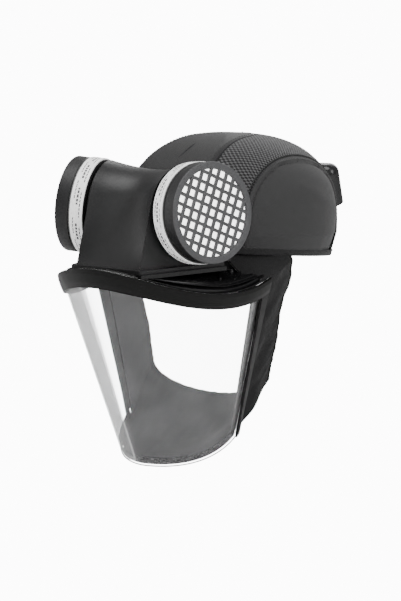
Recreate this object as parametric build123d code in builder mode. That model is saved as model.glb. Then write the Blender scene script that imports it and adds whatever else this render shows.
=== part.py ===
from build123d import *
from math import acos, atan2, copysign, cos, degrees, hypot, pi, radians, sin
import os

# Powered air respirator: a bump cap that carries a blower between two screw-on filters,
# a clear visor with a fabric face seal below it, and a clip-on battery pack behind.
# Millimetres. +Z is up, -Y is the wearer's front, +X is the wearer's left.
# The origin is the middle of the head opening, level with the cap's lower edge.

os.makedirs("parts", exist_ok=True)

# ---- driving dimensions ----
GAP = 0.3                              # clearance between pieces on different bodies
FIT = 0.06                             # radial clearance of a running fit

HUB = Vector(0, -105, 40)              # where the two filter axes meet
CANT = radians(16)                     # each filter face turns forward
RISE = radians(5.2)                    # and a little upward
FILTER_R = 40.0
FLARE_AT = 44.5                        # stations along a filter axis, from the hub
COLLAR_END = 48.5
BAND_END = 60.8
FACE_AT = 73.3

CAP_HALF_WIDTH = 84.0                  # cap outline at its widest level
CAP_HALF_LENGTH = 116.5
CAP_CENTRE_Y = 9.2
CAP_BASE_Z = 16.7                      # height of that level at the cap's middle
CAP_HEIGHT = 85.8
CAP_TILT = 3.9                         # degrees, lower at the back
CAP_ROUNDNESS = 2.5                    # superellipse exponent of the side profile
EDGE_SLOPE = 0.11                      # fall of the cap's lower edge towards the back
FABRIC = 1.6
SHELL = 2.4

VISOR_T = 1.0
VISOR_TOP = (84.8, 126.3, -65.3)       # half width, depth and rear line of the upper curve
VISOR_BOTTOM = (55.9, 59.8, -68.9)     # the same of the lower curve
BAND_H = 13.0

HOUSING_T = 2.2
FOOT_FRONT = (32.6, -170.6, 3.2)       # front corner of the blower's foot
FOOT_Z = FOOT_FRONT[2]


def filter_axis(side):
    """Unit vector out through a filter, side +1 for the wearer's left."""
    return Vector(side * cos(RISE) * cos(CANT), -cos(RISE) * sin(CANT), sin(RISE))


def filter_plane(side, distance):
    """Plane square to a filter axis: local Y is up, local Z points outward."""
    axis = filter_axis(side)
    return Plane(origin=HUB + axis * distance, x_dir=Vector(0, 0, 1).cross(axis), z_dir=axis)


def disc(side, start, end, outer, inner=0.0):
    """Round or ring-shaped blank between two stations of a filter axis."""
    with BuildPart() as blank:
        with BuildSketch(filter_plane(side, start)):
            Circle(outer)
            if inner > 0:
                Circle(inner, mode=Mode.SUBTRACT)
        extrude(amount=end - start)
    return blank.part


def save(piece, label):
    """Label one finished piece and write it to its own file."""
    piece.label = label
    export_step(piece, f"parts/{label}.step")


# ---- the cap's dome ----
def cap_plane(height):
    """Level plane of the cap, which leans back a little, at a height above its widest level."""
    base = Plane(origin=(0, CAP_CENTRE_Y, CAP_BASE_Z)).rotated((-CAP_TILT, 0, 0))
    return base.offset(height)


def cap_solid(inset, low=-34.0):
    """Solid dome whose surface lies the given inset inside the cap's outer surface."""
    height = CAP_HEIGHT - inset
    levels = [low, -14.0, 0.0] + [height * part for part in (0.3, 0.52, 0.7, 0.84, 0.93, 0.98)]
    outlines = []
    for level in levels:
        above = max(level, 0.0) / height
        size = (1 - above**CAP_ROUNDNESS) ** (1 / CAP_ROUNDNESS)
        taper = 0.003 * min(level, 0.0)
        with BuildSketch(cap_plane(level)) as outline:
            Ellipse((CAP_HALF_WIDTH - inset) * (size + taper), (CAP_HALF_LENGTH - inset) * (size + taper))
        outlines.append(outline.sketch)
    with BuildPart() as dome:
        loft(sections=outlines)
    return dome.part


def edge_plane(raise_by=0.0):
    """Plane of the cap's lower edge, its normal upward."""
    return Plane(origin=(0, 0, raise_by), x_dir=(1, 0, 0), z_dir=(0, EDGE_SLOPE, 1))


CAP_OUTER = cap_solid(0)
CAP_LINED = cap_solid(FABRIC)
SHELL_OUTER = cap_solid(FABRIC + 3.2)
SHELL_INNER = cap_solid(FABRIC + 3.2 + SHELL)

with BuildPart() as fabric_blank:
    add(CAP_OUTER)
    add(CAP_LINED, mode=Mode.SUBTRACT)
    split(bisect_by=edge_plane(3.2), keep=Keep.TOP)

SIDE_SEAM_X = 61.5
SIDE_SEAM = Plane.YZ.offset(SIDE_SEAM_X)
SIDE_SEAM_RIGHT = Plane.YZ.offset(-SIDE_SEAM_X)
CENTRE_PANEL = (31.0, 24.0)            # half width and rear end of the smooth centre panel

with BuildPart() as side_panel_left:
    add(fabric_blank.part)
    split(bisect_by=SIDE_SEAM, keep=Keep.TOP)
save(side_panel_left.part, "side_panel_left")

with BuildPart() as side_panel_right:
    add(fabric_blank.part)
    split(bisect_by=SIDE_SEAM_RIGHT, keep=Keep.BOTTOM)
save(side_panel_right.part, "side_panel_right")

with BuildPart() as middle_strip:
    add(fabric_blank.part)
    split(bisect_by=SIDE_SEAM, keep=Keep.BOTTOM)
    split(bisect_by=SIDE_SEAM_RIGHT, keep=Keep.TOP)

with BuildPart() as centre_block:
    with Locations((0, CENTRE_PANEL[1] - 100, 50)):
        Box(2 * CENTRE_PANEL[0], 200, 140)

with BuildPart() as front_panel:
    add(middle_strip.part)
    add(centre_block.part, mode=Mode.INTERSECT)
save(front_panel.part, "front_panel")

with BuildPart() as crown_mesh_panel:
    add(middle_strip.part)
    add(centre_block.part, mode=Mode.SUBTRACT)
save(crown_mesh_panel.part, "crown_mesh_panel")

with BuildPart() as edge_binding:
    add(CAP_OUTER)
    add(SHELL_OUTER, mode=Mode.SUBTRACT)
    split(bisect_by=edge_plane(3.0), keep=Keep.BOTTOM)
    split(bisect_by=edge_plane(0.0), keep=Keep.TOP)
save(edge_binding.part, "edge_binding")

# Hard bump shell: a hollow dome with vent slots through the crown.
with BuildPart() as cap_shell:
    add(SHELL_OUTER)
    add(SHELL_INNER, mode=Mode.SUBTRACT)
    split(bisect_by=edge_plane(14), keep=Keep.TOP)
    with BuildSketch(Plane.XY.offset(60)):
        with Locations((0, 5)):
            with GridLocations(24, 30, 4, 3):
                SlotOverall(16, 5, rotation=90)
    extrude(amount=60, mode=Mode.SUBTRACT)
save(cap_shell.part, "cap_shell")

# Foam lining inside the crown, and the sweatband round the lower rim.
with BuildPart() as crown_pad:
    add(cap_solid(FABRIC + 3.6 + SHELL))
    add(cap_solid(FABRIC + 9.2 + SHELL), mode=Mode.SUBTRACT)
    split(bisect_by=cap_plane(48), keep=Keep.TOP)
save(crown_pad.part, "crown_pad")

with BuildPart() as sweatband:
    add(cap_solid(FABRIC + 3.6 + SHELL))
    add(cap_solid(FABRIC + 7.4 + SHELL), mode=Mode.SUBTRACT)
    split(bisect_by=edge_plane(34), keep=Keep.BOTTOM)
    split(bisect_by=edge_plane(2), keep=Keep.TOP)
    split(bisect_by=Plane.XZ.offset(-72), keep=Keep.TOP)
save(sweatband.part, "sweatband")

# Elastic nape strap that closes the sweatband behind the head.
with BuildPart() as nape_strap:
    add(cap_solid(FABRIC + 4.0 + SHELL))
    add(cap_solid(FABRIC + 6.0 + SHELL), mode=Mode.SUBTRACT)
    split(bisect_by=edge_plane(28), keep=Keep.BOTTOM)
    split(bisect_by=edge_plane(6), keep=Keep.TOP)
    split(bisect_by=Plane.XZ.offset(-72.4), keep=Keep.BOTTOM)
save(nape_strap.part, "nape_strap")


# ---- blower housing ----
def foot_corner(plane, side):
    """The foot's front corner in a housing section's own (forward, up) coordinates."""
    corner = Vector(side * FOOT_FRONT[0], FOOT_FRONT[1], FOOT_FRONT[2])
    local = plane.to_local_coords(corner)
    return local.X, local.Y


def housing_section(plane, radius, side, inset):
    """Barrel circle joined by a tangent front face to the foot, closed square at the back."""
    front, foot = foot_corner(plane, side)
    facing = copysign(1, front)
    reach = hypot(front, foot)
    corner_angle = atan2(foot, abs(front))
    touch_angle = corner_angle + acos(radius / reach)
    inner = radius - inset
    touch = (facing * inner * cos(touch_angle), inner * sin(touch_angle))
    slope = radians(30)
    toe = (front - facing * inset / cos(slope), foot)
    heel = (-facing * inner, foot)
    with BuildSketch(plane) as section:
        with BuildLine():
            Line(toe, touch)
            ThreePointArc(touch, (0, inner), (-facing * inner, 0))
            Line((-facing * inner, 0), heel)
            Line(heel, toe)
        make_face()
    return section.sketch


def housing_solid(inset, reach):
    """Blower body between its two canted ends, pinched a little at the middle."""
    waist = Plane(origin=HUB, x_dir=(0, 1, 0), z_dir=(1, 0, 0))
    sections = [
        housing_section(filter_plane(-1, reach), 39.5, -1, inset),
        housing_section(waist, 36.3, 0, inset),
        housing_section(filter_plane(1, reach), 39.5, 1, inset),
    ]
    with BuildPart() as body:
        loft(sections=sections)
    return body.part


CAP_KEEP_OUT = cap_solid(-GAP)
PORT_R = 34.0
with BuildPart() as blower_housing:
    add(housing_solid(0, FLARE_AT))
    add(housing_solid(HOUSING_T, FLARE_AT - HOUSING_T), mode=Mode.SUBTRACT)
    for side in (-1, 1):
        add(disc(side, FLARE_AT - 10, FLARE_AT + 1, PORT_R), mode=Mode.SUBTRACT)
    add(CAP_KEEP_OUT, mode=Mode.SUBTRACT)
save(blower_housing.part, "blower_housing")

# Back cover: a wall of the dome's own curve that closes the housing against the cap.
with BuildPart() as blower_back_cover:
    add(housing_solid(HOUSING_T + 0.4, FLARE_AT - HOUSING_T - 8))
    add(CAP_KEEP_OUT, mode=Mode.SUBTRACT)
    add(cap_solid(-GAP - HOUSING_T), mode=Mode.INTERSECT)
    split(bisect_by=Plane.XY.offset(FOOT_Z + 0.3), keep=Keep.TOP)
save(blower_back_cover.part, "blower_back_cover")

# Base plate under the foot, with a lip all round and the air outlet towards the visor.
BASE_T = 3.0
OUTLET = (26.0, 8.0, -155.5)           # width, depth and middle Y of the air outlet


def foot_outline(grow):
    """Foot plan: front edge between the corners, sides splaying back to the cap."""
    splay = tan_cant()
    front_x = FOOT_FRONT[0] + grow
    front_y = FOOT_FRONT[1] - grow
    back_y = -92.0
    back_x = front_x + (back_y - front_y) * splay
    return [(-front_x, front_y), (front_x, front_y), (back_x, back_y), (-back_x, back_y)]


def tan_cant():
    """Sideways run of the housing's end faces for each millimetre back."""
    axis = filter_axis(1)
    return -axis.Y / axis.X


with BuildPart() as base_plate:
    with BuildSketch(Plane.XY.offset(FOOT_Z - BASE_T - 0.1)):
        with BuildLine():
            Polyline(*foot_outline(2.6), close=True)
        make_face()
    extrude(amount=BASE_T)
    fillet(base_plate.edges().filter_by(Axis.Z).group_by(Axis.Y)[0], radius=4)
    with BuildSketch(Plane.XY.offset(FOOT_Z)):
        with Locations((0, OUTLET[2])):
            Rectangle(OUTLET[0], OUTLET[1])
    extrude(amount=-BASE_T, mode=Mode.SUBTRACT)
    add(CAP_KEEP_OUT, mode=Mode.SUBTRACT)
save(base_plate.part, "base_plate")

# ---- fan, standing on the base plate ----
FAN_Y = -131.5
FAN_FLOOR = FOOT_Z
FAN_LID = 23.0
NOZZLE_H = 7.5
FAN_R = 17.0
SCROLL_R = 21.0
SHAFT_R = 1.5
INLET_R = 11.5
BLADES = 11

with BuildPart() as fan_casing:
    with BuildSketch(Plane.XY.offset(FAN_FLOOR)):
        with Locations((0, FAN_Y)):
            Circle(SCROLL_R)
    extrude(amount=FAN_LID - FAN_FLOOR)
    with BuildSketch(Plane.XY.offset(FAN_FLOOR)):
        with Locations((0, OUTLET[2])):
            Rectangle(OUTLET[0] + 3, OUTLET[1] + 3)
    extrude(amount=NOZZLE_H)
    with BuildSketch(Plane.XY.offset(FAN_FLOOR + 1.5)):
        with Locations((0, FAN_Y)):
            Circle(SCROLL_R - 1.5)
    extrude(amount=FAN_LID - FAN_FLOOR - 3, mode=Mode.SUBTRACT)
    with BuildSketch(Plane.XY.offset(FAN_FLOOR + 1.5)):
        with Locations((0, OUTLET[2])):
            Rectangle(OUTLET[0], OUTLET[1])
    extrude(amount=NOZZLE_H - 3, mode=Mode.SUBTRACT)
    with BuildSketch(Plane.XY.offset(FAN_LID)):
        with Locations((0, FAN_Y)):
            Circle(INLET_R)
    extrude(amount=-1.6, mode=Mode.SUBTRACT)
    with BuildSketch(Plane.XY.offset(FAN_FLOOR)):
        with Locations((0, OUTLET[2])):
            Rectangle(OUTLET[0], OUTLET[1])
    extrude(amount=1.6, mode=Mode.SUBTRACT)
save(fan_casing.part, "fan_casing")

with BuildPart() as impeller:
    with BuildSketch(Plane.XY.offset(FAN_FLOOR + 4)):
        with Locations((0, FAN_Y)):
            Circle(FAN_R)
            Circle(SHAFT_R, mode=Mode.SUBTRACT)
    extrude(amount=1.4)
    with BuildSketch(Plane.XY.offset(FAN_FLOOR + 4)):
        with Locations((0, FAN_Y)):
            Circle(4.5)
            Circle(SHAFT_R, mode=Mode.SUBTRACT)
    extrude(amount=8)
    with BuildSketch(Plane.XY.offset(FAN_FLOOR + 4)):
        with Locations((0, FAN_Y)):
            with PolarLocations(FAN_R - 4.2, BLADES):
                Rectangle(7.2, 1.0, rotation=38)
    extrude(amount=12)
    with BuildSketch(Plane.XY.offset(FAN_FLOOR + 14.8)):
        with Locations((0, FAN_Y)):
            Circle(FAN_R)
            Circle(INLET_R, mode=Mode.SUBTRACT)
    extrude(amount=1.2)
save(impeller.part, "impeller")

MOTOR_FLOOR = FAN_LID + 2.0
with BuildPart() as fan_shaft:
    with Locations((0, FAN_Y, FAN_FLOOR + 2)):
        Cylinder(SHAFT_R, MOTOR_FLOOR - FAN_FLOOR + 6, align=(Align.CENTER, Align.CENTER, Align.MIN))
save(fan_shaft.part, "fan_shaft")

with BuildPart() as fan_bearings:
    for floor in (FAN_FLOOR + 1.5, MOTOR_FLOOR - 1.8):
        with BuildSketch(Plane.XY.offset(floor)):
            with Locations((0, FAN_Y)):
                Circle(3.2)
                Circle(SHAFT_R + FIT, mode=Mode.SUBTRACT)
        extrude(amount=1.8)
save(fan_bearings.part, "fan_bearings")

with BuildPart() as motor_bracket:
    with BuildSketch(Plane.XY.offset(FAN_LID)):
        with Locations((0, FAN_Y)):
            Circle(SCROLL_R - 4)
            Circle(INLET_R + 1, mode=Mode.SUBTRACT)
            Rectangle(2 * INLET_R + 6, 4)
            Rectangle(4, 2 * INLET_R + 6)
            Circle(5.2)
            Circle(3.2, mode=Mode.SUBTRACT)
    extrude(amount=2.0)
save(motor_bracket.part, "motor_bracket")

with BuildPart() as motor:
    with BuildSketch(Plane.XY.offset(MOTOR_FLOOR)):
        with Locations((0, FAN_Y)):
            Circle(9)
    extrude(amount=12)
    fillet(motor.edges().group_by(Axis.Z)[-1], radius=1.2)
    with BuildSketch(Plane.XY.offset(MOTOR_FLOOR)):
        with Locations((0, FAN_Y)):
            Circle(SHAFT_R + FIT)
    extrude(amount=8, mode=Mode.SUBTRACT)
save(motor.part, "motor")

with BuildPart() as control_board:
    with Locations((0, -123, 54)):
        Box(34, 18, 1.6)
    with Locations((-8, -123, 56), (7, -121, 56)):
        Box(8, 8, 2.4)
    with Locations((0, -129, 56.5)):
        Box(22, 3.5, 3.4)
save(control_board.part, "control_board")

# ---- filters, one on each side ----
THREAD_R = 21.0
COLLAR_FACE = 46.3
GRID_PITCH = 7.9
GRID_HOLE = 5.6
GRID_TURN = 19.0
GRID_R = 34.0

for side, name in ((1, "left"), (-1, "right")):
    with BuildPart() as port_collar:
        add(disc(side, FLARE_AT, COLLAR_FACE, 37.2, 24.0))
        add(disc(side, 38.0, FLARE_AT, PORT_R - 0.05, 31.5))
        add(disc(side, 38.0, 40.0, 32.0, 23.0))
        add(disc(side, 38.0, COLLAR_FACE, 25.0, THREAD_R + FIT))
        add(CAP_KEEP_OUT, mode=Mode.SUBTRACT)
    save(port_collar.part, f"port_collar_{name}")

    with BuildPart() as gasket:
        add(disc(side, COLLAR_FACE + 0.15, COLLAR_END, 31.0, THREAD_R + 1.5))
    save(gasket.part, f"filter_gasket_{name}")

    with BuildPart() as canister:
        add(disc(side, COLLAR_FACE - 6, COLLAR_END + 0.5, THREAD_R, 18.6))
        add(disc(side, COLLAR_END + 0.1, COLLAR_END + 2.4, 39.2, 18.6))
        add(disc(side, COLLAR_END + 2.0, BAND_END + 0.8, 39.2, 37.4))
    save(canister.part, f"filter_canister_{name}")

    with BuildPart() as label_band:
        add(disc(side, COLLAR_END + 0.5, BAND_END - 0.9, 40.5, 39.25))
    save(label_band.part, f"label_band_{name}")

    with BuildPart() as lock_ring:
        add(disc(side, BAND_END - 0.8, BAND_END + 0.4, 40.2, 39.25))
    save(lock_ring.part, f"lock_ring_{name}")

    with BuildPart() as filter_media:
        add(disc(side, COLLAR_END + 2.6, FACE_AT - 3.4, 37.0))
    save(filter_media.part, f"filter_media_{name}")

    with BuildPart() as filter_grille:
        add(disc(side, BAND_END + 0.9, FACE_AT, FILTER_R, 37.3))
        chamfer(filter_grille.edges().filter_by(GeomType.CIRCLE).sort_by(SortBy.RADIUS)[-2:], length=0.5)
        with BuildSketch(filter_plane(side, FACE_AT - 2.2)):
            Circle(38)
            with BuildSketch(mode=Mode.SUBTRACT):
                with Locations(Rotation(0, 0, side * GRID_TURN)):
                    with GridLocations(GRID_PITCH, GRID_PITCH, 9, 9):
                        Rectangle(GRID_HOLE, GRID_HOLE)
                Circle(GRID_R, mode=Mode.INTERSECT)
        extrude(amount=2.2)
    save(filter_grille.part, f"filter_grille_{name}")

# ---- screws of the housing, driven up through the base plate's corners ----
SCREW_PLACES = [(-26, -163), (26, -163), (-38, -112), (38, -112)]
with BuildPart() as housing_screws:
    with BuildSketch(Plane.XY.offset(FOOT_Z - BASE_T - 1.9)):
        with Locations(*SCREW_PLACES):
            Circle(2.6)
    extrude(amount=1.8)
    with BuildSketch(Plane.XY.offset(FOOT_Z - BASE_T - 1.9)):
        with Locations(*SCREW_PLACES):
            RegularPolygon(1.3, 6)
    extrude(amount=1.0, mode=Mode.SUBTRACT)
save(housing_screws.part, "housing_screws")


# ---- visor surface: straight lines from an upper curve to a lower one ----
def upper_edge_z(y):
    """Height of the visor's upper edge where it passes the given Y."""
    run = y - VISOR_TOP[2]
    return -10.1 + 0.321 * run + 0.00348 * run**2


def lower_edge_z(y):
    """Height of the visor's lower edge where it passes the given Y."""
    run = y - VISOR_BOTTOM[2]
    return -145.8 + 0.734 * run + 0.00626 * run**2


def visor_point(turn, height, out=0.0):
    """Point on the visor at a turn from straight ahead (degrees) and a height, moved outward."""
    side, ahead = sin(radians(turn)), cos(radians(turn))
    top = Vector(VISOR_TOP[0] * side, VISOR_TOP[2] - VISOR_TOP[1] * ahead, 0)
    squareness = 2 / 1.64
    low_x = copysign(abs(side) ** squareness, side) * VISOR_BOTTOM[0]
    low = Vector(low_x, VISOR_BOTTOM[2] - VISOR_BOTTOM[1] * abs(ahead) ** squareness, 0)
    top.Z = upper_edge_z(top.Y)
    low.Z = lower_edge_z(low.Y)
    point = top + (low - top) * ((height - top.Z) / (low.Z - top.Z))
    outward = Vector(side / VISOR_TOP[0], -ahead / VISOR_TOP[1], 0).normalized()
    return point + outward * out


VISOR_HIGH = 14.0                      # levels between which the visor surface is built
VISOR_LOW = -174.0


def visor_skin(inner, outer, turn_from=-90, turn_to=90, steps=12):
    """Sheet following the visor between two offsets and two turns, over its whole height."""
    turns = [turn_from + (turn_to - turn_from) * i / steps for i in range(steps + 1)]
    outlines = []
    for height in (VISOR_LOW, VISOR_HIGH):
        far = [visor_point(turn, height, outer) for turn in turns]
        near = [visor_point(turn, height, inner) for turn in turns]
        with BuildSketch(Plane.XY.offset(height)) as outline:
            with BuildLine():
                Spline(*[(p.X, p.Y) for p in far])
                Spline(*[(p.X, p.Y) for p in near])
                Line((far[0].X, far[0].Y), (near[0].X, near[0].Y))
                Line((far[-1].X, far[-1].Y), (near[-1].X, near[-1].Y))
            make_face()
        outlines.append(outline.sketch)
    with BuildPart() as sheet:
        loft(sections=outlines, ruled=True)
    return sheet.part


def height_zone(edge, above, below):
    """Wide block that lies between two curves at set distances from an edge's height curve."""
    stations = [-205, -170, -140, -110, -80, -50]
    upper = [(y, edge(y) + above) for y in stations]
    lower = [(y, edge(y) + below) for y in stations]
    with BuildPart() as zone:
        with BuildSketch(Plane.YZ):
            with BuildLine():
                Spline(*upper)
                Line(upper[-1], lower[-1])
                Spline(*lower)
                Line(lower[0], upper[0])
            make_face()
        extrude(amount=110, both=True)
    return zone.part


def between_edges():
    """Block from the visor's lower edge to its upper edge."""
    stations = [-205, -170, -140, -110, -80, -50]
    upper = [(y, upper_edge_z(y) - 0.6) for y in stations]
    lower = [(y, lower_edge_z(y)) for y in stations]
    with BuildPart() as zone:
        with BuildSketch(Plane.YZ):
            with BuildLine():
                Spline(*upper)
                Line(upper[-1], lower[-1])
                Spline(*lower)
                Line(lower[0], upper[0])
            make_face()
        extrude(amount=110, both=True)
    return zone.part


VISOR_ZONE = between_edges()
with BuildPart() as visor_lens:
    add(visor_skin(-VISOR_T, 0))
    add(VISOR_ZONE, mode=Mode.INTERSECT)
save(visor_lens.part, "visor_lens")

with BuildPart() as brow_band:
    add(visor_skin(0.1, 3.2))
    add(height_zone(upper_edge_z, 0, -BAND_H), mode=Mode.INTERSECT)
save(brow_band.part, "brow_band")

with BuildPart() as brow_retainer:
    add(visor_skin(-VISOR_T - 1.8, -VISOR_T - 0.1))
    add(height_zone(upper_edge_z, 0, -BAND_H + 2), mode=Mode.INTERSECT)
save(brow_retainer.part, "brow_retainer")

with BuildPart() as hook_strip:
    add(visor_skin(-VISOR_T - 1.5, -VISOR_T - 0.3, -86, 86))
    add(height_zone(lower_edge_z, 8.5, 2.0), mode=Mode.INTERSECT)
save(hook_strip.part, "hook_strip")

TRIM_TURN = 85.6                       # where the side trim starts, degrees from straight ahead
TAPE_TURN = 81.0
for sign, name in ((1, "left"), (-1, "right")):
    with BuildPart() as side_trim:
        add(visor_skin(0.1, 2.8, *sorted((sign * TRIM_TURN, sign * 90)), steps=3))
        add(VISOR_ZONE, mode=Mode.INTERSECT)
        add(height_zone(upper_edge_z, 30, -BAND_H - 0.1), mode=Mode.SUBTRACT)
    save(side_trim.part, f"side_trim_{name}")

    with BuildPart() as edge_tape:
        add(visor_skin(-VISOR_T - 1.6, -VISOR_T - 0.4, *sorted((sign * TAPE_TURN, sign * 89.5)), steps=4))
        add(VISOR_ZONE, mode=Mode.INTERSECT)
        add(height_zone(upper_edge_z, 30, -BAND_H), mode=Mode.SUBTRACT)
        add(height_zone(lower_edge_z, 8.6, -30), mode=Mode.SUBTRACT)
    save(edge_tape.part, f"edge_tape_{name}")


# ---- peak tray under the blower ----
def tray_arch(y, drop, sag, thick):
    """Thin arch across the tray at one station, highest in the middle."""
    half = 92.0
    with BuildSketch(Plane.XZ.offset(-y)) as arch:
        with BuildLine():
            ThreePointArc((-half, drop - sag * half**2), (0, drop), (half, drop - sag * half**2))
            Line((half, drop - sag * half**2), (half, drop - sag * half**2 - thick))
            ThreePointArc(
                (half, drop - sag * half**2 - thick), (0, drop - thick), (-half, drop - sag * half**2 - thick)
            )
            Line((-half, drop - sag * half**2 - thick), (-half, drop - sag * half**2))
        make_face()
    return arch.sketch


TRAY_RIM = (80.0, 121.5)               # half width and depth of the tray's plan, about the visor's rear line
with BuildPart() as tray_sheet:
    arches = [(-196, 4.0, 0.0029), (-168, 0, 0.0029), (-112, 0, 0.0029), (-58, 0, 0.0015)]
    loft(sections=[tray_arch(y, drop, sag, 2.4) for y, drop, sag in arches])

with BuildPart() as tray_plan:
    with BuildSketch(Plane.XY.offset(-60)):
        with Locations((0, VISOR_TOP[2])):
            Ellipse(*TRAY_RIM)
            with Locations((0, 100)):
                Rectangle(200, 200, mode=Mode.SUBTRACT)
        with Locations((0, CAP_CENTRE_Y)):
            Ellipse(CAP_HALF_WIDTH - 13, CAP_HALF_LENGTH - 13, mode=Mode.SUBTRACT)
    extrude(amount=100)

with BuildPart() as rim_plan:
    with BuildSketch(Plane.XY.offset(-60)):
        with Locations((0, VISOR_TOP[2])):
            Ellipse(*TRAY_RIM)
            Ellipse(TRAY_RIM[0] - 2.6, TRAY_RIM[1] - 2.6, mode=Mode.SUBTRACT)
            with Locations((0, 100)):
                Rectangle(200, 200, mode=Mode.SUBTRACT)
    extrude(amount=100)

with BuildPart() as tray_rim:
    add(rim_plan.part)
    add(height_zone(upper_edge_z, 1.5, -2.5), mode=Mode.INTERSECT)

RIB_ENDS = [((40.5, -73), (62, -103)), ((60, -66), (68, -92))]   # stiffening ribs, half of them
RIB_RISE = 2.0
with BuildPart() as tray_ribs:
    loft(sections=[tray_arch(y, drop + RIB_RISE, sag, RIB_RISE + 1) for y, drop, sag in arches])
    with BuildSketch(Plane.XY.offset(-60)):
        for side in (1, -1):
            for rear, front in RIB_ENDS:
                run = Vector(side * (front[0] - rear[0]), front[1] - rear[1])
                middle = (side * (front[0] + rear[0]) / 2, (front[1] + rear[1]) / 2)
                with Locations(Location(middle, degrees(atan2(run.Y, run.X)))):
                    SlotOverall(run.length, 2.2)
    extrude(amount=100, mode=Mode.INTERSECT)

with BuildPart() as peak_tray:
    add(tray_sheet.part)
    add(tray_plan.part, mode=Mode.INTERSECT)
    add(tray_rim.part)
    add(tray_ribs.part)
    with BuildSketch(Plane.XY.offset(FOOT_Z - BASE_T - 3.4)):
        with BuildLine():
            Polyline(*foot_outline(4.5), close=True)
        make_face()
    extrude(amount=3.2)
    with BuildSketch(Plane.XY.offset(FOOT_Z - BASE_T - 0.2)):
        with BuildLine():
            Polyline(*foot_outline(2.9), close=True)
        make_face()
    extrude(amount=12, mode=Mode.SUBTRACT)
    with BuildSketch(Plane.XY.offset(FOOT_Z - BASE_T - 8)):
        with Locations((0, OUTLET[2])):
            Rectangle(OUTLET[0], OUTLET[1])
        with Locations(*SCREW_PLACES):
            Circle(3.2)
    extrude(amount=12, mode=Mode.SUBTRACT)
    with BuildSketch(Plane.XY.offset(-60)):
        with Locations((0, CAP_CENTRE_Y)):
            Ellipse(CAP_HALF_WIDTH - 13, CAP_HALF_LENGTH - 13)
    extrude(amount=100, mode=Mode.SUBTRACT)
    add(CAP_KEEP_OUT, mode=Mode.SUBTRACT)
save(peak_tray.part, "peak_tray")

# ---- fabric face seal, from the visor's rear and lower edges to its elastic hem ----
SEAL_T = 1.6
HEM_BOTTOM_Z = -124.5
HEM_Y = -28.5
SIDE_SHARE = 0.55                      # share of the half hem that lies beside the face


def hem_point(share):
    """Point on half of the hem: share 0 beside the cap's edge, 1 under the chin."""
    if share < SIDE_SHARE:
        fall = share / SIDE_SHARE
        return Vector(80.5 - 18.6 * fall**1.1, -23.5 - 5 * min(1, fall * 3), -1.0 - 99 * fall)
    turn = (share - SIDE_SHARE) / (1 - SIDE_SHARE) * pi / 2
    return Vector(61.9 * cos(turn), HEM_Y, -100 + (HEM_BOTTOM_Z + 100) * sin(turn) ** 0.9)


def rim_point(share):
    """Point on the visor's edge that the same share of the hem is joined to."""
    if share < SIDE_SHARE:
        point = visor_point(90, -12.0 - 128.0 * share / SIDE_SHARE, -VISOR_T - 1.5)
        return point + Vector(0, 2.0, 0)
    turn = 90 * (1 - share) / (1 - SIDE_SHARE)
    low = visor_point(turn, -160)
    return visor_point(turn, lower_edge_z(low.Y) + 10.0, -VISOR_T - 2.6)


def seal_middle(share):
    """Middle of the strip at one share; past the chin the shares mirror back."""
    folded = min(share, 2 - share)
    middle = (rim_point(folded) + hem_point(folded)) * 0.5
    return Vector(copysign(middle.X, 1 - share), middle.Y, middle.Z)


def seal_strip(share):
    """Thin face from the visor's edge to the hem at one share of the way round."""
    rim, hem = rim_point(share), hem_point(share)
    along = seal_middle(share + 0.03) - seal_middle(share - 0.03 if share > 0.03 else share)
    outward = (hem - rim).cross(along).normalized() * (SEAL_T / 2)
    corners = [rim + outward, hem + outward, hem - outward, rim - outward]
    return Face(Wire.make_polygon(corners, close=True))


def gusset_edge():
    """Thin face under the cap's lower edge, where the seal's upper end is sewn to the cap."""
    front, rear = Vector(47.5, -78.5, 7.4), Vector(80.0, -24.0, 1.9)
    outward = Vector(rear.Y - front.Y, front.X - rear.X, 0).normalized() * (SEAL_T / 2)
    corners = [front + outward, rear + outward, rear - outward, front - outward]
    return Face(Wire.make_polygon(corners, close=True))


SEAL_SHARES = [step / 14 for step in range(15)]
with BuildPart() as face_seal:
    loft(sections=[seal_strip(share) for share in SEAL_SHARES], ruled=True)
    loft(sections=[gusset_edge(), seal_strip(0)], ruled=True)
    mirror(about=Plane.YZ)
save(face_seal.part, "face_seal")

# ---- battery pack behind the cap ----
LEAN = 18.0                            # the pack leans forward with the back of the cap
PACK_FOOT = (0, 128, 36)
PACK = (72.0, 21.5, 40.0)              # width, thickness, height
PACK_BACK = 1.8
PACK_LOW = -9.0
CASE_T = 1.3
CELL_R = 9.1
PACK_PLANE = Plane(origin=PACK_FOOT, x_dir=(1, 0, 0), z_dir=(0, -sin(radians(LEAN)), cos(radians(LEAN))))


def pack_brick(inset, round_by):
    """Rounded brick of the battery case, shrunk by an inset."""
    width, thick, tall = (size - 2 * inset for size in PACK)
    with BuildPart() as brick:
        with BuildSketch(PACK_PLANE.offset(PACK_LOW + inset)):
            with Locations((0, PACK_BACK + PACK[1] / 2)):
                RectangleRounded(width, thick, round_by)
        extrude(amount=tall)
        fillet(brick.faces().sort_by(Axis.Z)[-1].edges(), radius=round_by * 0.93)
    return brick.part


CASE_JOINT = Plane(origin=PACK_PLANE.from_local_coords(Vector(0, PACK_BACK + 9, 0)), x_dir=(1, 0, 0),
                   z_dir=PACK_PLANE.y_dir)

with BuildPart() as case_blank:
    add(pack_brick(0, 10.0))
    add(pack_brick(CASE_T, 8.7), mode=Mode.SUBTRACT)

with BuildPart() as battery_case_outer:
    add(case_blank.part)
    split(bisect_by=CASE_JOINT, keep=Keep.TOP)
save(battery_case_outer.part, "battery_case_outer")

with BuildPart() as battery_case_inner:
    add(case_blank.part)
    split(bisect_by=CASE_JOINT, keep=Keep.BOTTOM)
save(battery_case_inner.part, "battery_case_inner")

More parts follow.
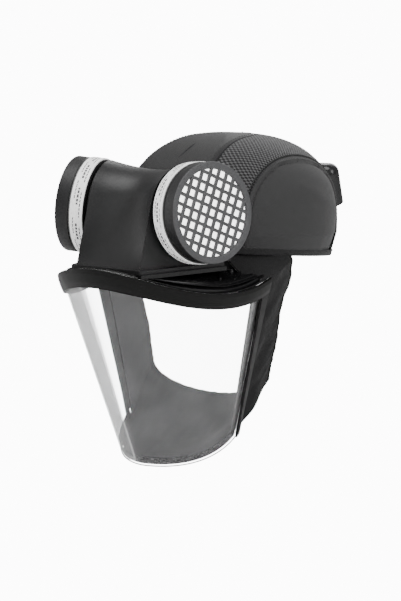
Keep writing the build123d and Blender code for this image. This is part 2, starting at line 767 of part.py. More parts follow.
CELL_LENGTH = 54.0
with BuildPart() as battery_cells:
    for height in (PACK_LOW + CASE_T + CELL_R + 0.2, PACK_LOW + PACK[2] - CASE_T - CELL_R - 0.2):
        start = PACK_PLANE.from_local_coords(Vector(-CELL_LENGTH / 2, PACK_BACK + PACK[1] / 2, height))
        with BuildSketch(Plane(origin=start, x_dir=(0, 1, 0), z_dir=(1, 0, 0))):
            Circle(CELL_R)
        extrude(amount=CELL_LENGTH)
save(battery_cells.part, "battery_cells")

# ---- cradle with its control pod, fixed to the cap ----
CRADLE_W = 56.0
POD_MIDDLE = (0, 136.5)
POD_DEPTH = 22.0
POD_FLOOR = 4.0
POD_H = 20.5
POD_T = 2.0
POD_BACK = POD_MIDDLE[1] + POD_DEPTH / 2
BUTTON_AT = (-8, 14.5)                 # X and Z of the power button on the pod's back
BUTTON_R = 6.0
LENS_AT = (6, 14.5)
SOCKET_AT = (14, 136)
SOCKET_R = 2.8
SOCKET_L = 8.5
LATCH_SIZE = (9.0, 7.0, 9.0)
LATCH_Z = 14.0

with BuildPart() as battery_cradle:
    with BuildSketch(PACK_PLANE.offset(PACK_LOW - 2.0)):
        with Locations((0, 0.1)):
            RectangleRounded(CRADLE_W, 2.4, 1.1)
    extrude(amount=36)
    with BuildSketch(Plane.XY.offset(POD_FLOOR)):
        with Locations(POD_MIDDLE):
            RectangleRounded(CRADLE_W, POD_DEPTH, 6)
    extrude(amount=POD_H)
    add(cap_solid(-0.2), mode=Mode.SUBTRACT)
    with BuildSketch(Plane.XY.offset(POD_FLOOR + POD_T)):
        with Locations((0, POD_MIDDLE[1] + 2)):
            RectangleRounded(CRADLE_W - 2 * POD_T, POD_DEPTH - 2 * POD_T - 4, 3)
    extrude(amount=POD_H - 2 * POD_T, mode=Mode.SUBTRACT)
    with BuildSketch(Plane.XZ.offset(-POD_BACK - 1)):
        with Locations(BUTTON_AT):
            Circle(BUTTON_R + GAP)
        with Locations(LENS_AT):
            Circle(1.8)
    extrude(amount=POD_T + 2, mode=Mode.SUBTRACT)
    with BuildSketch(Plane.XY.offset(POD_FLOOR - 1)):
        with Locations(SOCKET_AT):
            Circle(4.4)
    extrude(amount=POD_T + 2, mode=Mode.SUBTRACT)
    with Locations((CRADLE_W / 2, POD_MIDDLE[1] + 2, LATCH_Z)):
        Box(12, LATCH_SIZE[1] + 2 * GAP, LATCH_SIZE[2] + 2 * GAP, mode=Mode.SUBTRACT)
save(battery_cradle.part, "battery_cradle")

with BuildPart() as power_button:
    with BuildSketch(Plane.XZ.offset(-POD_BACK - 1.3)):
        with Locations(BUTTON_AT):
            Circle(BUTTON_R)
    extrude(amount=5.3)
    fillet(power_button.faces().sort_by(Axis.Y)[-1].edges(), radius=0.6)
save(power_button.part, "power_button")

with BuildPart() as status_lens:
    with BuildSketch(Plane.XZ.offset(-POD_BACK)):
        with Locations(LENS_AT):
            Circle(1.75)
    extrude(amount=3.0)
save(status_lens.part, "status_lens")

BOARD_Y = POD_BACK - 10.5
with BuildPart() as switch_board:
    with Locations((-7.5, BOARD_Y, POD_FLOOR + POD_H / 2)):
        Box(24, 1.4, 13)
    with Locations((BUTTON_AT[0], BOARD_Y + 2.2, BUTTON_AT[1])):
        Box(6, 3.0, 6)
save(switch_board.part, "switch_board")

with BuildPart() as charge_socket:
    with BuildSketch(Plane.XY.offset(POD_FLOOR + 0.2)):
        with Locations(SOCKET_AT):
            Circle(4.3)
    extrude(amount=SOCKET_L + 2)
    with BuildSketch(Plane.XY.offset(POD_FLOOR + 0.2)):
        with Locations(SOCKET_AT):
            Circle(SOCKET_R)
    extrude(amount=SOCKET_L, mode=Mode.SUBTRACT)
save(charge_socket.part, "charge_socket")

with BuildPart() as release_latch:
    with Locations((CRADLE_W / 2 - 3.4, POD_MIDDLE[1] + 2, LATCH_Z)):
        Box(*LATCH_SIZE)
    fillet(release_latch.faces().sort_by(Axis.X)[-1].edges(), radius=0.8)
save(release_latch.part, "release_latch")

with BuildPart() as battery_contacts:
    with BuildSketch(Plane.XY.offset(POD_FLOOR + POD_H)):
        with Locations((0, POD_MIDDLE[1] - 2)):
            with GridLocations(8, 1, 3, 1):
                Rectangle(3, 5)
    extrude(amount=1.2)
save(battery_contacts.part, "battery_contacts")

# ---- power lead, held between shell and fabric from the battery over the crown to the blower ----
LEAD_R = 0.8
LEAD_INSET = FABRIC + 1.7
CROWN_FLAT = 0.98                      # share of the dome's height where its crown flattens out


def lead_point(turn):
    """Point of the lead's route in the middle plane: turn 0 is the front, 180 the back."""
    power = 2 / CAP_ROUNDNESS
    along = -copysign(abs(cos(radians(turn))) ** power, cos(radians(turn))) * (CAP_HALF_LENGTH - LEAD_INSET)
    height = min(sin(radians(turn)) ** power, CROWN_FLAT) * (CAP_HEIGHT - LEAD_INSET)
    return cap_plane(0).from_local_coords(Vector(0, along, height))


LEAD_TURNS = (22, 28, 34, 40, 46, 52, 58, 64, 71, 78, 102, 109, 116, 122, 128, 134, 141, 147, 153, 159)
lead_route = [lead_point(turn) for turn in LEAD_TURNS]
lead_radii = []
for before, here, after in zip(lead_route, lead_route[1:], lead_route[2:]):
    turn = (here - before).get_angle(after - here)
    shorter = min((here - before).length, (after - here).length)
    lead_radii.append(0.45 * shorter / (sin(radians(turn / 2)) / cos(radians(turn / 2))))
print("lead radii", [round(radius) for radius in lead_radii])

with BuildPart() as power_lead:
    with BuildLine() as lead_line:
        FilletPolyline(*lead_route, radius=lead_radii)
    with BuildSketch(Plane(origin=lead_line.line @ 0, z_dir=lead_line.line % 0)):
        Circle(LEAD_R)
    sweep()
save(power_lead.part, "power_lead")
lead_length = sum(edge.length for edge in lead_line.edges())
print("lead length", round(lead_length, 1))
print("lead volume over section times length", round(power_lead.part.volume / (pi * LEAD_R**2 * lead_length), 4))
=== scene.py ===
from math import acos, copysign, cos, hypot, pi, radians, sin, tau

import bmesh
import bpy
import numpy as np
from mathutils import Matrix, Vector, noise


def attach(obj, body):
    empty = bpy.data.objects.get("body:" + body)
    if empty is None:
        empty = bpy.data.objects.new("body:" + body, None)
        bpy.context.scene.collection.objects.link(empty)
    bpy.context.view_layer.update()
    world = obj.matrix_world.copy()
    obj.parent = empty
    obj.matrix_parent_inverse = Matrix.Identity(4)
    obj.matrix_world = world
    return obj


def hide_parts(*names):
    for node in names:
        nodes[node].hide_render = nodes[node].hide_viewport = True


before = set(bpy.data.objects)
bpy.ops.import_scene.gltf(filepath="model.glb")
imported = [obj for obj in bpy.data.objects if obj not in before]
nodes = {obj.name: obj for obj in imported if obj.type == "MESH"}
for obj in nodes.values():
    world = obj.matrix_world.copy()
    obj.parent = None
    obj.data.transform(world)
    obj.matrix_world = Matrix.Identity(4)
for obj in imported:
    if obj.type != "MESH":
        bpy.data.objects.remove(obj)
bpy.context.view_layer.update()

# ---- driving dimensions, in metres, the same as the CAD frame's ----
HUB = Vector((0, -0.105, 0.040))            # where the two filter axes meet
CANT = radians(16)
RISE = radians(5.2)
FILTER_R = 0.040
COLLAR_END = 0.0485                         # stations along a filter axis
BAND_END = 0.0608
FACE_AT = 0.0733
CAP_HALF = (0.084, 0.1165)
CAP_CENTRE_Y = 0.0092
CAP_BASE_Z = 0.0167
CAP_HEIGHT = 0.0858
CAP_TILT = radians(3.9)
CAP_ROUNDNESS = 2.5
EDGE_SLOPE = 0.11
SIDE_SEAM_X = 0.0615
VISOR_TOP = (0.0848, 0.1263, -0.0653)
VISOR_BOTTOM = (0.0559, 0.0598, -0.0689)
VISOR_T = 0.001
BAND_H = 0.013

# ---- what the scene adds, lengths in metres ----
SIDES = ((1, "left"), (-1, "right"))
DOME_MIDDLE = (0, 0.009, 0.005)             # a point inside the cap that its cloth faces away from
TRAY_HALF = (0.080, 0.1215)                 # the peak tray's outline about the visor's own centre
SEAL_TURN = 87                              # where the face seal leaves the visor's side, degrees
TRIM_TURNS = (85.6, 90)
TAPE_TURNS = (81, 89.5)
HOOK_TURN = 86
LABEL_R = 0.0405
PLEAT_R = 0.0369
FLOOR_Z = -0.21
BACKDROP_GLOW = 12.0
CAMERA_AT = (0.67815, -1.02065, 0.15456)
CAMERA_TURN = (radians(80.7), 0, radians(34.7))
CAMERA_LENS = 83.4


# ---- materials ----
class Shader:
    """A node material under construction, with short calls for the nodes used here."""

    def __init__(self, name, rough=0.5, colour=(0.5, 0.5, 0.5), **sockets):
        self.material = bpy.data.materials.new(name)
        self.material.use_nodes = True
        self.tree = self.material.node_tree
        self.surface = self.tree.nodes["Principled BSDF"]
        self.set("Base Color", (*colour, 1.0))
        self.set("Roughness", rough)
        for socket, value in sockets.items():
            self.set(socket.replace("_", " "), value)
        if "Specular_IOR_Level" not in sockets:
            self.set("Specular IOR Level", 0.35)
        self.place = self.add("ShaderNodeTexCoord").outputs["Object"]
        self.height = None

    def set(self, socket, value):
        self.surface.inputs[socket].default_value = value

    def add(self, kind, **settings):
        node = self.tree.nodes.new(kind)
        for key, value in settings.items():
            setattr(node, key, value)
        return node

    def link(self, output, socket):
        self.tree.links.new(output, socket)

    def feed(self, node, socket, value):
        """Give a node's input a number or another node's output."""
        target = node.inputs[socket]
        if isinstance(value, (int, float, tuple)):
            target.default_value = value
        else:
            self.link(value, target)

    def math(self, operation, first, second=0.0):
        node = self.add("ShaderNodeMath", operation=operation)
        self.feed(node, 0, first)
        self.feed(node, 1, second)
        return node.outputs[0]

    def noise(self, scale, detail=3.0, rough=0.5, stretch=(1, 1, 1)):
        mapping = self.add("ShaderNodeMapping")
        self.link(self.place, mapping.inputs["Vector"])
        mapping.inputs["Scale"].default_value = stretch
        node = self.add("ShaderNodeTexNoise")
        self.link(mapping.outputs[0], node.inputs["Vector"])
        node.inputs["Scale"].default_value = scale
        node.inputs["Detail"].default_value = detail
        node.inputs["Roughness"].default_value = rough
        return node.outputs["Fac"]

    def attribute(self, name):
        return self.add("ShaderNodeAttribute", attribute_name=name).outputs["Fac"]

    def spread(self, value, low, high, to_low=0.0, to_high=1.0):
        node = self.add("ShaderNodeMapRange")
        for index, number in enumerate((low, high, to_low, to_high), 1):
            node.inputs[index].default_value = number
        self.link(value, node.inputs["Value"])
        return node.outputs["Result"]

    def tint(self, factor, dark, light):
        """Base colour that runs from dark to light with a factor."""
        mix = self.add("ShaderNodeMix", data_type="RGBA")
        self.feed(mix, 0, factor)
        mix.inputs[6].default_value = (*dark, 1.0)
        mix.inputs[7].default_value = (*light, 1.0)
        self.link(mix.outputs[2], self.surface.inputs["Base Color"])
        return mix

    def roughen(self, factor, low, high):
        self.link(self.spread(factor, 0.0, 1.0, low, high), self.surface.inputs["Roughness"])

    def bump(self, height, depth):
        """Raise the surface by a height map; calls stack on each other."""
        node = self.add("ShaderNodeBump")
        node.inputs["Strength"].default_value = 1.0
        node.inputs["Distance"].default_value = depth
        self.link(height, node.inputs["Height"])
        if self.height is not None:
            self.link(self.height, node.inputs["Normal"])
        self.height = node.outputs["Normal"]
        self.link(self.height, self.surface.inputs["Normal"])


def share_of(colour, share):
    return tuple(channel * share for channel in colour)


def moulded(name, colour, rough, grain=0.00004, scale=2600, wear=0.25, sheen_spread=0.10):
    """Spark-eroded plastic: fine grain, faint cloudy colour and slight polish differences."""
    made = Shader(name, rough, colour)
    made.tint(made.noise(28, 4.0), share_of(colour, 1 - wear * 0.5), share_of(colour, 1 + wear))
    made.roughen(made.noise(60, 5.0, 0.6), rough - sheen_spread, rough + sheen_spread)
    made.bump(made.noise(scale, 2.0, 0.6), grain)
    return made.material


def woven(name, colour, pitch, depth, rough=0.85, sheen=0.3, contrast=0.5):
    """Plain weave that follows the piece's own U and V lengths, kept as mesh attributes in metres."""
    made = Shader(name, rough, colour, Sheen_Weight=sheen, Sheen_Roughness=0.45)
    across = made.math("MULTIPLY", made.attribute("run_u"), pi / pitch)
    along = made.math("MULTIPLY", made.attribute("run_v"), pi / pitch)
    weave = made.spread(made.math("MULTIPLY", made.math("SINE", across), made.math("SINE", along)), -1.0, 1.0)
    fuzz = made.noise(900, 3.0, 0.7)
    blend = made.math("ADD", made.math("MULTIPLY", weave, 0.6), made.math("MULTIPLY", fuzz, 0.4))
    made.tint(blend, share_of(colour, 1 - contrast), share_of(colour, 1 + contrast))
    made.bump(weave, depth)
    made.bump(made.noise(45, 4.0, 0.6), depth * 3)
    return made.material


def spacer_mesh(name):
    """Air mesh: dark round holes in slanting rows, with the threads between them standing up."""
    made = Shader(name, 0.75, (0.05, 0.05, 0.052), Sheen_Weight=0.05, Sheen_Roughness=0.5)
    pitch = 0.0046
    u, v = made.attribute("run_u"), made.attribute("run_v")
    across = made.math("MULTIPLY", made.math("ADD", u, v), tau / pitch)
    along = made.math("MULTIPLY", made.math("SUBTRACT", u, v), tau / pitch)
    waves = made.math("ADD", made.math("COSINE", across), made.math("COSINE", along))
    threads = made.spread(waves, 0.35, -0.55)
    made.tint(threads, (0.0006, 0.0006, 0.0006), (0.075, 0.075, 0.077))
    made.bump(threads, 0.0007)
    made.bump(made.noise(1400, 2.0), 0.00008)
    return made.material


def clear_plastic(name):
    """Polycarbonate visor: thin, clear, with the faintest haze and fine hairline scratches."""
    made = Shader(name, 0.03, (0.97, 0.975, 0.98), IOR=1.18, Transmission_Weight=1.0)
    made.bump(made.noise(420, 2.0, 0.5, (1, 1, 0.03)), 0.0000015)
    clear = made.add("ShaderNodeBsdfTransparent")
    clear.inputs[0].default_value = (0.955, 0.957, 0.96, 1.0)
    mix = made.add("ShaderNodeMixShader")
    facing = made.add("ShaderNodeLayerWeight")
    facing.inputs["Blend"].default_value = 0.12
    edge = made.spread(facing.outputs["Fresnel"], 0.0, 1.0, 0.04, 0.75)
    haze = made.spread(made.noise(35, 3.0), 0.4, 0.8, 0.0, 0.03)
    made.link(made.math("ADD", edge, haze), mix.inputs[0])
    gloss = made.add("ShaderNodeBsdfGlossy")
    gloss.inputs["Roughness"].default_value = 0.04
    gloss.inputs["Color"].default_value = (0.9, 0.9, 0.9, 1.0)
    made.link(made.height, gloss.inputs["Normal"])
    made.link(clear.outputs[0], mix.inputs[1])
    made.link(gloss.outputs[0], mix.inputs[2])
    made.link(mix.outputs[0], made.tree.nodes["Material Output"].inputs["Surface"])
    return made.material


def pleated_paper(name):
    """Filter paper seen through the grille, lit a little from within so that it reads white."""
    made = Shader(name, 0.9, (0.92, 0.92, 0.91), Emission_Color=(1, 1, 1, 1), Emission_Strength=2.0)
    fibres = made.noise(3000, 3.0, 0.7)
    made.tint(made.noise(160, 4.0), (0.86, 0.86, 0.85), (0.97, 0.97, 0.96))
    made.bump(fibres, 0.00006)
    return made.material


def label_paper(name):
    """White wrap label, slightly uneven in tone and lit a little from within."""
    made = Shader(name, 0.42, (0.86, 0.86, 0.85), Emission_Color=(1, 1, 1, 1), Emission_Strength=0.5)
    made.tint(made.noise(90, 4.0), (0.82, 0.82, 0.81), (0.93, 0.93, 0.92))
    made.bump(made.noise(1800, 2.0), 0.00002)
    return made.material


def brushed_metal(name, colour, rough=0.32):
    made = Shader(name, rough, colour, Metallic=1.0)
    grain = made.noise(900, 4.0, 0.7, (1, 1, 0.05))
    made.tint(grain, share_of(colour, 0.8), colour)
    made.roughen(grain, rough - 0.1, rough + 0.12)
    made.bump(grain, 0.00001)
    return made.material


def rubbery(name, colour, rough=0.55, specular=0.35):
    made = Shader(name, rough, colour, Specular_IOR_Level=specular)
    made.tint(made.noise(50, 4.0), share_of(colour, 0.7), share_of(colour, 1.35))
    made.roughen(made.noise(90, 4.0), rough - 0.08, rough + 0.12)
    made.bump(made.noise(1500, 3.0, 0.6), 0.00005)
    return made.material


def foam(name, colour):
    made = Shader(name, 0.95, colour)
    cell = made.add("ShaderNodeTexVoronoi")
    made.link(made.place, cell.inputs["Vector"])
    cell.inputs["Scale"].default_value = 900
    made.tint(cell.outputs["Distance"], share_of(colour, 0.5), share_of(colour, 1.5))
    made.bump(cell.outputs["Distance"], 0.0003)
    return made.material


def circuit(name):
    made = Shader(name, 0.4, (0.02, 0.12, 0.05))
    made.tint(made.spread(made.noise(220, 1.0), 0.48, 0.52), (0.015, 0.09, 0.04), (0.03, 0.2, 0.08))
    made.bump(made.noise(500, 2.0), 0.00005)
    return made.material


LOOKS = {
    "housing": moulded("housing_look", (0.0085, 0.0085, 0.0088), 0.44, 0.00005, 2400),
    "filter": moulded("filter_look", (0.012, 0.012, 0.0125), 0.5, 0.00006, 2200),
    "grille": moulded("grille_look", (0.055, 0.055, 0.057), 0.5, 0.00006, 2200),
    "dark": moulded("dark_look", (0.007, 0.007, 0.0075), 0.55, 0.00005, 2400),
    "peak": moulded("peak_look", (0.004, 0.004, 0.0043), 0.24, 0.000002, 500, 0.25, 0.04),
    "pack": moulded("pack_look", (0.009, 0.009, 0.0096), 0.26, 0.000006, 500, 0.25, 0.05),
    "shell": moulded("shell_look", (0.09, 0.09, 0.095), 0.45),
    "band": rubbery("band_look", (0.0012, 0.0012, 0.0009), 0.42, 0.16),
    "rubber": rubbery("rubber_look", (0.006, 0.006, 0.006), 0.55),
    "tape": moulded("tape_look", (0.10, 0.10, 0.10), 0.4, 0.00002, 1500),
    "cloth": woven("cap_cloth_look", (0.0062, 0.0062, 0.0064), 0.00045, 0.00005, 0.62, 0.05, 0.25),
    "side": woven("side_cloth_look", (0.0225, 0.0225, 0.0228), 0.0007, 0.00005, 0.8, 0.06, 0.22),
    "sweat": woven("sweat_look", (0.05, 0.05, 0.052), 0.0009, 0.0001, 0.92, 0.5, 0.3),
    "mesh": spacer_mesh("cap_mesh_look"),
    "binding": woven("binding_look", (0.007, 0.007, 0.0073), 0.0008, 0.00012, 0.8, 0.06, 0.4),
    "seal_out": woven("seal_cloth_look", (0.0045, 0.0045, 0.0047), 0.0011, 0.00012, 0.9, 0.03, 0.5),
    "seal_in": woven("seal_lining_look", (0.105, 0.105, 0.107), 0.0009, 0.00003, 0.9, 0.05, 0.06),
    "hook": woven("hook_tape_look", (0.03, 0.03, 0.031), 0.0022, 0.0006, 0.9, 0.05, 0.9),
    "clear": clear_plastic("visor_look"),
    # painted highlight: an opaque light grey on the clear lens's edge stands in for the glint along it
    "edge_glint": moulded("lens_edge_glint_look", (0.42, 0.43, 0.43), 0.15, 0.00001, 900, 0.1, 0.05),
    "paper": pleated_paper("filter_paper_look"),
    "label": label_paper("label_look"),
    "ink": moulded("ink_look", (0.12, 0.12, 0.12), 0.5, 0.00001, 900),
    "steel": brushed_metal("steel_look", (0.55, 0.55, 0.56)),
    "brass": brushed_metal("brass_look", (0.75, 0.55, 0.25)),
    "foam": foam("foam_look", (0.05, 0.05, 0.052)),
    "webbing": woven("webbing_look", (0.02, 0.02, 0.021), 0.001, 0.0002, 0.85, 0.2, 0.5),
    "circuit": circuit("circuit_look"),
    "cell": moulded("cell_look", (0.06, 0.16, 0.36), 0.3),
    "light": moulded("light_look", (0.05, 0.32, 0.12), 0.15),
}


# ---- mesh helpers ----
def piece(name, verts, faces, look, replaced=(), uv=None, body="cap", slot=None, smooth=True, angle=35):
    """One visible piece: its mesh, material, body and the CAD nodes it stands for; the slot argument is not
    used.
    """
    mesh = bpy.data.meshes.new(name)
    mesh.from_pydata([tuple(v) for v in verts], [], faces)
    if uv is not None:
        for index, label in enumerate(("run_u", "run_v")):
            attribute = mesh.attributes.new(label, "FLOAT", "POINT")
            attribute.data.foreach_set("value", np.array([pair[index] for pair in uv], np.float32))
    mesh.materials.append(LOOKS[look])
    made = bpy.data.objects.new(name, mesh)
    bpy.context.scene.collection.objects.link(made)
    tidy = bmesh.new()
    tidy.from_mesh(mesh)
    bmesh.ops.remove_doubles(tidy, verts=tidy.verts, dist=1e-6)
    bmesh.ops.recalc_face_normals(tidy, faces=tidy.faces)
    tidy.to_mesh(mesh)
    tidy.free()
    if smooth:
        mesh.shade_smooth()
        mesh.set_sharp_from_angle(angle=radians(angle))
    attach(made, body)
    if replaced:
        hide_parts(replaced)
    return made


def thicken(made, thick, offset=-1.0):
    solid = made.modifiers.new("thickness", "SOLIDIFY")
    solid.thickness = thick
    solid.offset = offset
    return made


def face_out(made, middle=DOME_MIDDLE):
    """Turn a piece's faces away from a point inside it."""
    if sum(face.normal.dot(face.center - Vector(middle)) for face in made.data.polygons) < 0:
        made.data.flip_normals()


def close_ends(verts, faces, wide):
    """Cap the two open ends of a swept outline."""
    faces.append(tuple(range(wide - 1)))
    faces.append(tuple(range(len(verts) - 2, len(verts) - wide - 1, -1)))


def pairs(first, second):
    return [(float(a), float(b)) for a, b in zip(first.ravel(), second.ravel())]


def run_length(net, axis=0):
    """Length run so far along an axis of a net of points."""
    steps = np.linalg.norm(np.diff(net, axis=axis), axis=-1)
    return np.cumsum(np.concatenate([np.zeros((1, *steps.shape[1:])), steps]), axis=0)


def grid(rows, closed=False):
    """Vertices and quads of a net of points; closed joins the last column to the first."""
    wide = len(rows[0])
    verts = [point for row in rows for point in row]
    faces = []
    for r in range(len(rows) - 1):
        for c in range(wide if closed else wide - 1):
            after = (c + 1) % wide
            faces.append((r * wide + c, r * wide + after, (r + 1) * wide + after, (r + 1) * wide + c))
    return verts, faces


def runs(rows):
    """Length run along the rows and down the columns at every point of a net, for the weave."""
    down = [0.0]
    middle = len(rows[0]) // 2
    for before, here in zip(rows, rows[1:]):
        down.append(down[-1] + (Vector(here[middle]) - Vector(before[middle])).length)
    out = []
    for r, row in enumerate(rows):
        along = 0.0
        places = [0.0]
        for before, here in zip(row, row[1:]):
            along += (Vector(here) - Vector(before)).length
            places.append(along)
        out += [(place - places[middle], down[r]) for place in places]
    return out


def cloth_piece(name, rows, thick, look, replaced=()):
    """A net of points as a sheet with real thickness on both sides and a weave that follows it."""
    verts, faces = grid(rows)
    return thicken(piece(name, verts, faces, look, replaced, runs(rows)), thick, 0.0)


def bevel(made, width):
    edge = made.modifiers.new("edges", "BEVEL")
    edge.width = width
    edge.segments = 2
    edge.limit_method = "ANGLE"
    edge.angle_limit = radians(32)
    edge.harden_normals = False


def lathe(name, plane, outline, look, replaced=(), segments=128, angle=35, **placed):
    """Turn an outline of (radius, station) points about a plane's axis. The outline is closed."""
    rows = []
    for step in range(segments):
        turn = tau * step / segments
        rows.append([plane @ Vector((r * cos(turn), r * sin(turn), z)) for r, z in outline])
    rows.append(rows[0])
    verts, faces = grid([row + [row[0]] for row in rows])
    return piece(name, verts, faces, look, replaced, angle=angle, **placed)


def rounded(outline, radius, steps=3):
    """Round every corner of a closed outline of 2-D points by an arc-like curve."""
    out = []
    count = len(outline)
    for i in range(count):
        before, here, after = (Vector(outline[(i + k) % count]) for k in (-1, 0, 1))
        reach = min(radius, (before - here).length * 0.45, (after - here).length * 0.45)
        first = here + (before - here).normalized() * reach
        last = here + (after - here).normalized() * reach
        for step in range(steps + 1):
            t = step / steps
            out.append(tuple(first.lerp(here, t).lerp(here.lerp(last, t), t)))
    return out


def tube(name, path, radius, look, sides=10, slot=None):
    """Round bar along a list of points, with flat ends."""
    points = [Vector(p) for p in path]
    rows = []
    side = None
    for i, here in enumerate(points):
        along = (points[min(i + 1, len(points) - 1)] - points[max(i - 1, 0)]).normalized()
        if side is None:
            side = along.orthogonal().normalized()
        side = (side - along * side.dot(along)).normalized()
        up = along.cross(side)
        turns = [tau * k / sides for k in range(sides)]
        rows.append([here + (side * cos(turn) + up * sin(turn)) * radius for turn in turns])
    verts, faces = grid(rows, closed=True)
    faces.append(tuple(range(sides)))
    faces.append(tuple(range(len(verts) - 1, len(verts) - 1 - sides, -1)))
    return piece(name, verts, faces, look, slot=slot)


# ---- filter units ----
def filter_axis(side):
    return Vector((side * cos(RISE) * cos(CANT), -cos(RISE) * sin(CANT), sin(RISE)))


def filter_plane(side, distance=0.0):
    """Matrix whose Z runs out through a filter and whose Y is up."""
    axis = filter_axis(side)
    across = Vector((0, 0, 1)).cross(axis).normalized()
    up = axis.cross(across)
    plane = Matrix((across, up, axis)).transposed().to_4x4()
    plane.translation = HUB + axis * distance
    return plane


GRID_PITCH = 0.0079
GRID_TURN = radians(23)
GRID_BAR = 0.0027
GRID_R = 0.034


def grille(side, name):
    """Round cap with a square lattice of real holes, its bars rounded over."""
    plane = filter_plane(side)
    body = f"filter_{name}"
    node = f"filter_grille_{name}"
    outline = [(0.0373, BAND_END + 0.0009), (FILTER_R - 0.0003, BAND_END + 0.0009), (FILTER_R, FACE_AT),
               (0.0346, FACE_AT), (0.0340, FACE_AT - 0.0022), (0.0373, FACE_AT - 0.0024)]
    rim = lathe(f"{node}_rim", plane, rounded(outline, 0.0009, 4), "grille", node, 160, 40, body=body)
    rim.data.materials.append(LOOKS["filter"])
    for face in rim.data.polygons:
        centre = plane.inverted() @ face.center
        if hypot(centre.x, centre.y) > FILTER_R - 0.0012 and centre.z < FACE_AT - 0.0006:
            face.material_index = 1
    turn = Matrix.Rotation(-side * GRID_TURN, 4, "Z")
    half = GRID_BAR / 2
    profile = rounded([(-half, 0.0), (half, 0.0), (half, 0.0020), (-half, 0.0020)], 0.0005, 2)
    count = len(profile)
    verts, faces = [], []
    for step in range(10):
        at = GRID_PITCH * (step - 4.5)
        if abs(at) >= GRID_R + half:
            continue
        length = (max((GRID_R + 0.0008) ** 2 - at**2, 0.0004**2)) ** 0.5
        for upright in (False, True):
            base = len(verts)
            for end in (-length, length):
                for sideways, deep in profile:
                    drop = FACE_AT - 0.00015 - deep - (0.00012 if upright else 0.0)
                    spot = (at + sideways, end, drop) if upright else (end, at + sideways, drop)
                    verts.append(plane @ (turn @ Vector(spot)))
            near = [base + k for k in range(count)]
            far = [base + count + k for k in range(count)]
            faces += [(near[k - 1], near[k], far[k], far[k - 1]) for k in range(count)]
            faces += [tuple(near), tuple(far[::-1])]
    piece(f"{node}_lattice", verts, faces, "grille", node, body=body, angle=50)


def filter_unit(side, name):
    """One filter: grille, canister, label with its marks, lock ring and pleated paper."""
    plane = filter_plane(side)
    body = f"filter_{name}"
    grille(side, name)
    steps = [(0.0374, COLLAR_END + 0.0024), (0.0186, COLLAR_END + 0.0024), (0.0186, 0.0403), (0.0210, 0.0403),
             (0.0210, COLLAR_END + 0.0001), (0.0388, COLLAR_END + 0.0001), (0.0392, COLLAR_END + 0.0005),
             (0.0392, BAND_END + 0.0008), (0.0374, BAND_END + 0.0008)]
    node = f"filter_canister_{name}"
    lathe(f"{node}_shell", plane, rounded(steps, 0.0004, 2), "filter", node, body=body)
    label = (COLLAR_END + 0.0005, BAND_END - 0.0009)
    lock = (BAND_END - 0.0007, BAND_END + 0.0003)
    for node, part, look, slot, outer, (start, stop), soft in (
            ("label_band", "wrap", "label", "label_paper", LABEL_R, label, 0.0003),
            ("lock_ring", "band", "tape", "grille_plastic", 0.0402, lock, 0.0002)):
        ring = rounded([(0.03925, start), (outer, start), (outer, stop), (0.03925, stop)], soft, 2)
        lathe(f"{node}_{name}_{part}", plane, ring, look, f"{node}_{name}", 160, body=body, slot=slot)
    pleats(side, name)
    label_marks(side, name)


def label_marks(side, name):
    """Groups of plain bars round the label, standing for print without any lettering."""
    plane = filter_plane(side)
    verts, faces = [], []
    radius = LABEL_R + 0.00006
    lanes = [(COLLAR_END + 0.0030, 0.0009), (COLLAR_END + 0.0056, 0.0017), (COLLAR_END + 0.0084, 0.0008)]
    for lane, (station, tall) in enumerate(lanes):
        turn = 0.12 * lane
        count = 0
        while turn < tau - 0.05:
            count += 1
            wide = (0.9 + 0.8 * abs(sin(count * 2.3 + lane))) * 0.0016 / radius
            space = 0.0009 / radius if count % 5 else (0.005 + 0.004 * abs(sin(count))) / radius
            base = len(verts)
            for k in range(4):
                angle = turn + wide * k / 3
                for edge in (-tall / 2, tall / 2):
                    verts.append(plane @ Vector((radius * cos(angle), radius * sin(angle), station + edge)))
            faces += [(a, a + 1, a + 3, a + 2) for a in range(base, base + 6, 2)]
            turn += wide + space
    thicken(piece(f"label_band_{name}_marks", verts, faces, "ink", body=f"filter_{name}"), 0.00006)


def pleats(side, name):
    """Pleated paper disc just behind the grille."""
    plane = filter_plane(side)
    rows = []
    count = 150
    for i in range(count + 1):
        x = -PLEAT_R + 2 * PLEAT_R * i / count
        reach = max(PLEAT_R**2 - x**2, 1e-9) ** 0.5
        deep = FACE_AT - 0.0042 + 0.00045 * (1 if i % 2 else -1)
        rows.append([plane @ Vector((x, reach * (2 * k / 12 - 1), deep)) for k in range(13)])
    sheet = piece(f"filter_media_{name}_pleats", *grid(rows), "paper", f"filter_media_{name}",
                  body=f"filter_{name}", smooth=False)
    thicken(sheet, 0.0006)


for side, name in SIDES:
    filter_unit(side, name)


# ---- cap surface ----
def cap_size(height, inset=0.0):
    top = CAP_HEIGHT - inset
    above = np.clip(height / top, 0, 1)
    return (1 - above**CAP_ROUNDNESS) ** (1 / CAP_ROUNDNESS) + 3.0 * np.minimum(height, 0)


def cap_world(x, y, h):
    """From the cap's own leaning axes to the frame."""
    return np.stack([x, CAP_CENTRE_Y + y * cos(CAP_TILT) + h * sin(CAP_TILT),
                     CAP_BASE_Z - y * sin(CAP_TILT) + h * cos(CAP_TILT)], -1)


def narrow(low, high, short, steps):
    """Narrow a bracket, element by element, to the last place where the test still holds."""
    for _ in range(steps):
        middle = (low + high) / 2
        held = short(middle)
        low, high = np.where(held, middle, low), np.where(held, high, middle)
    return low


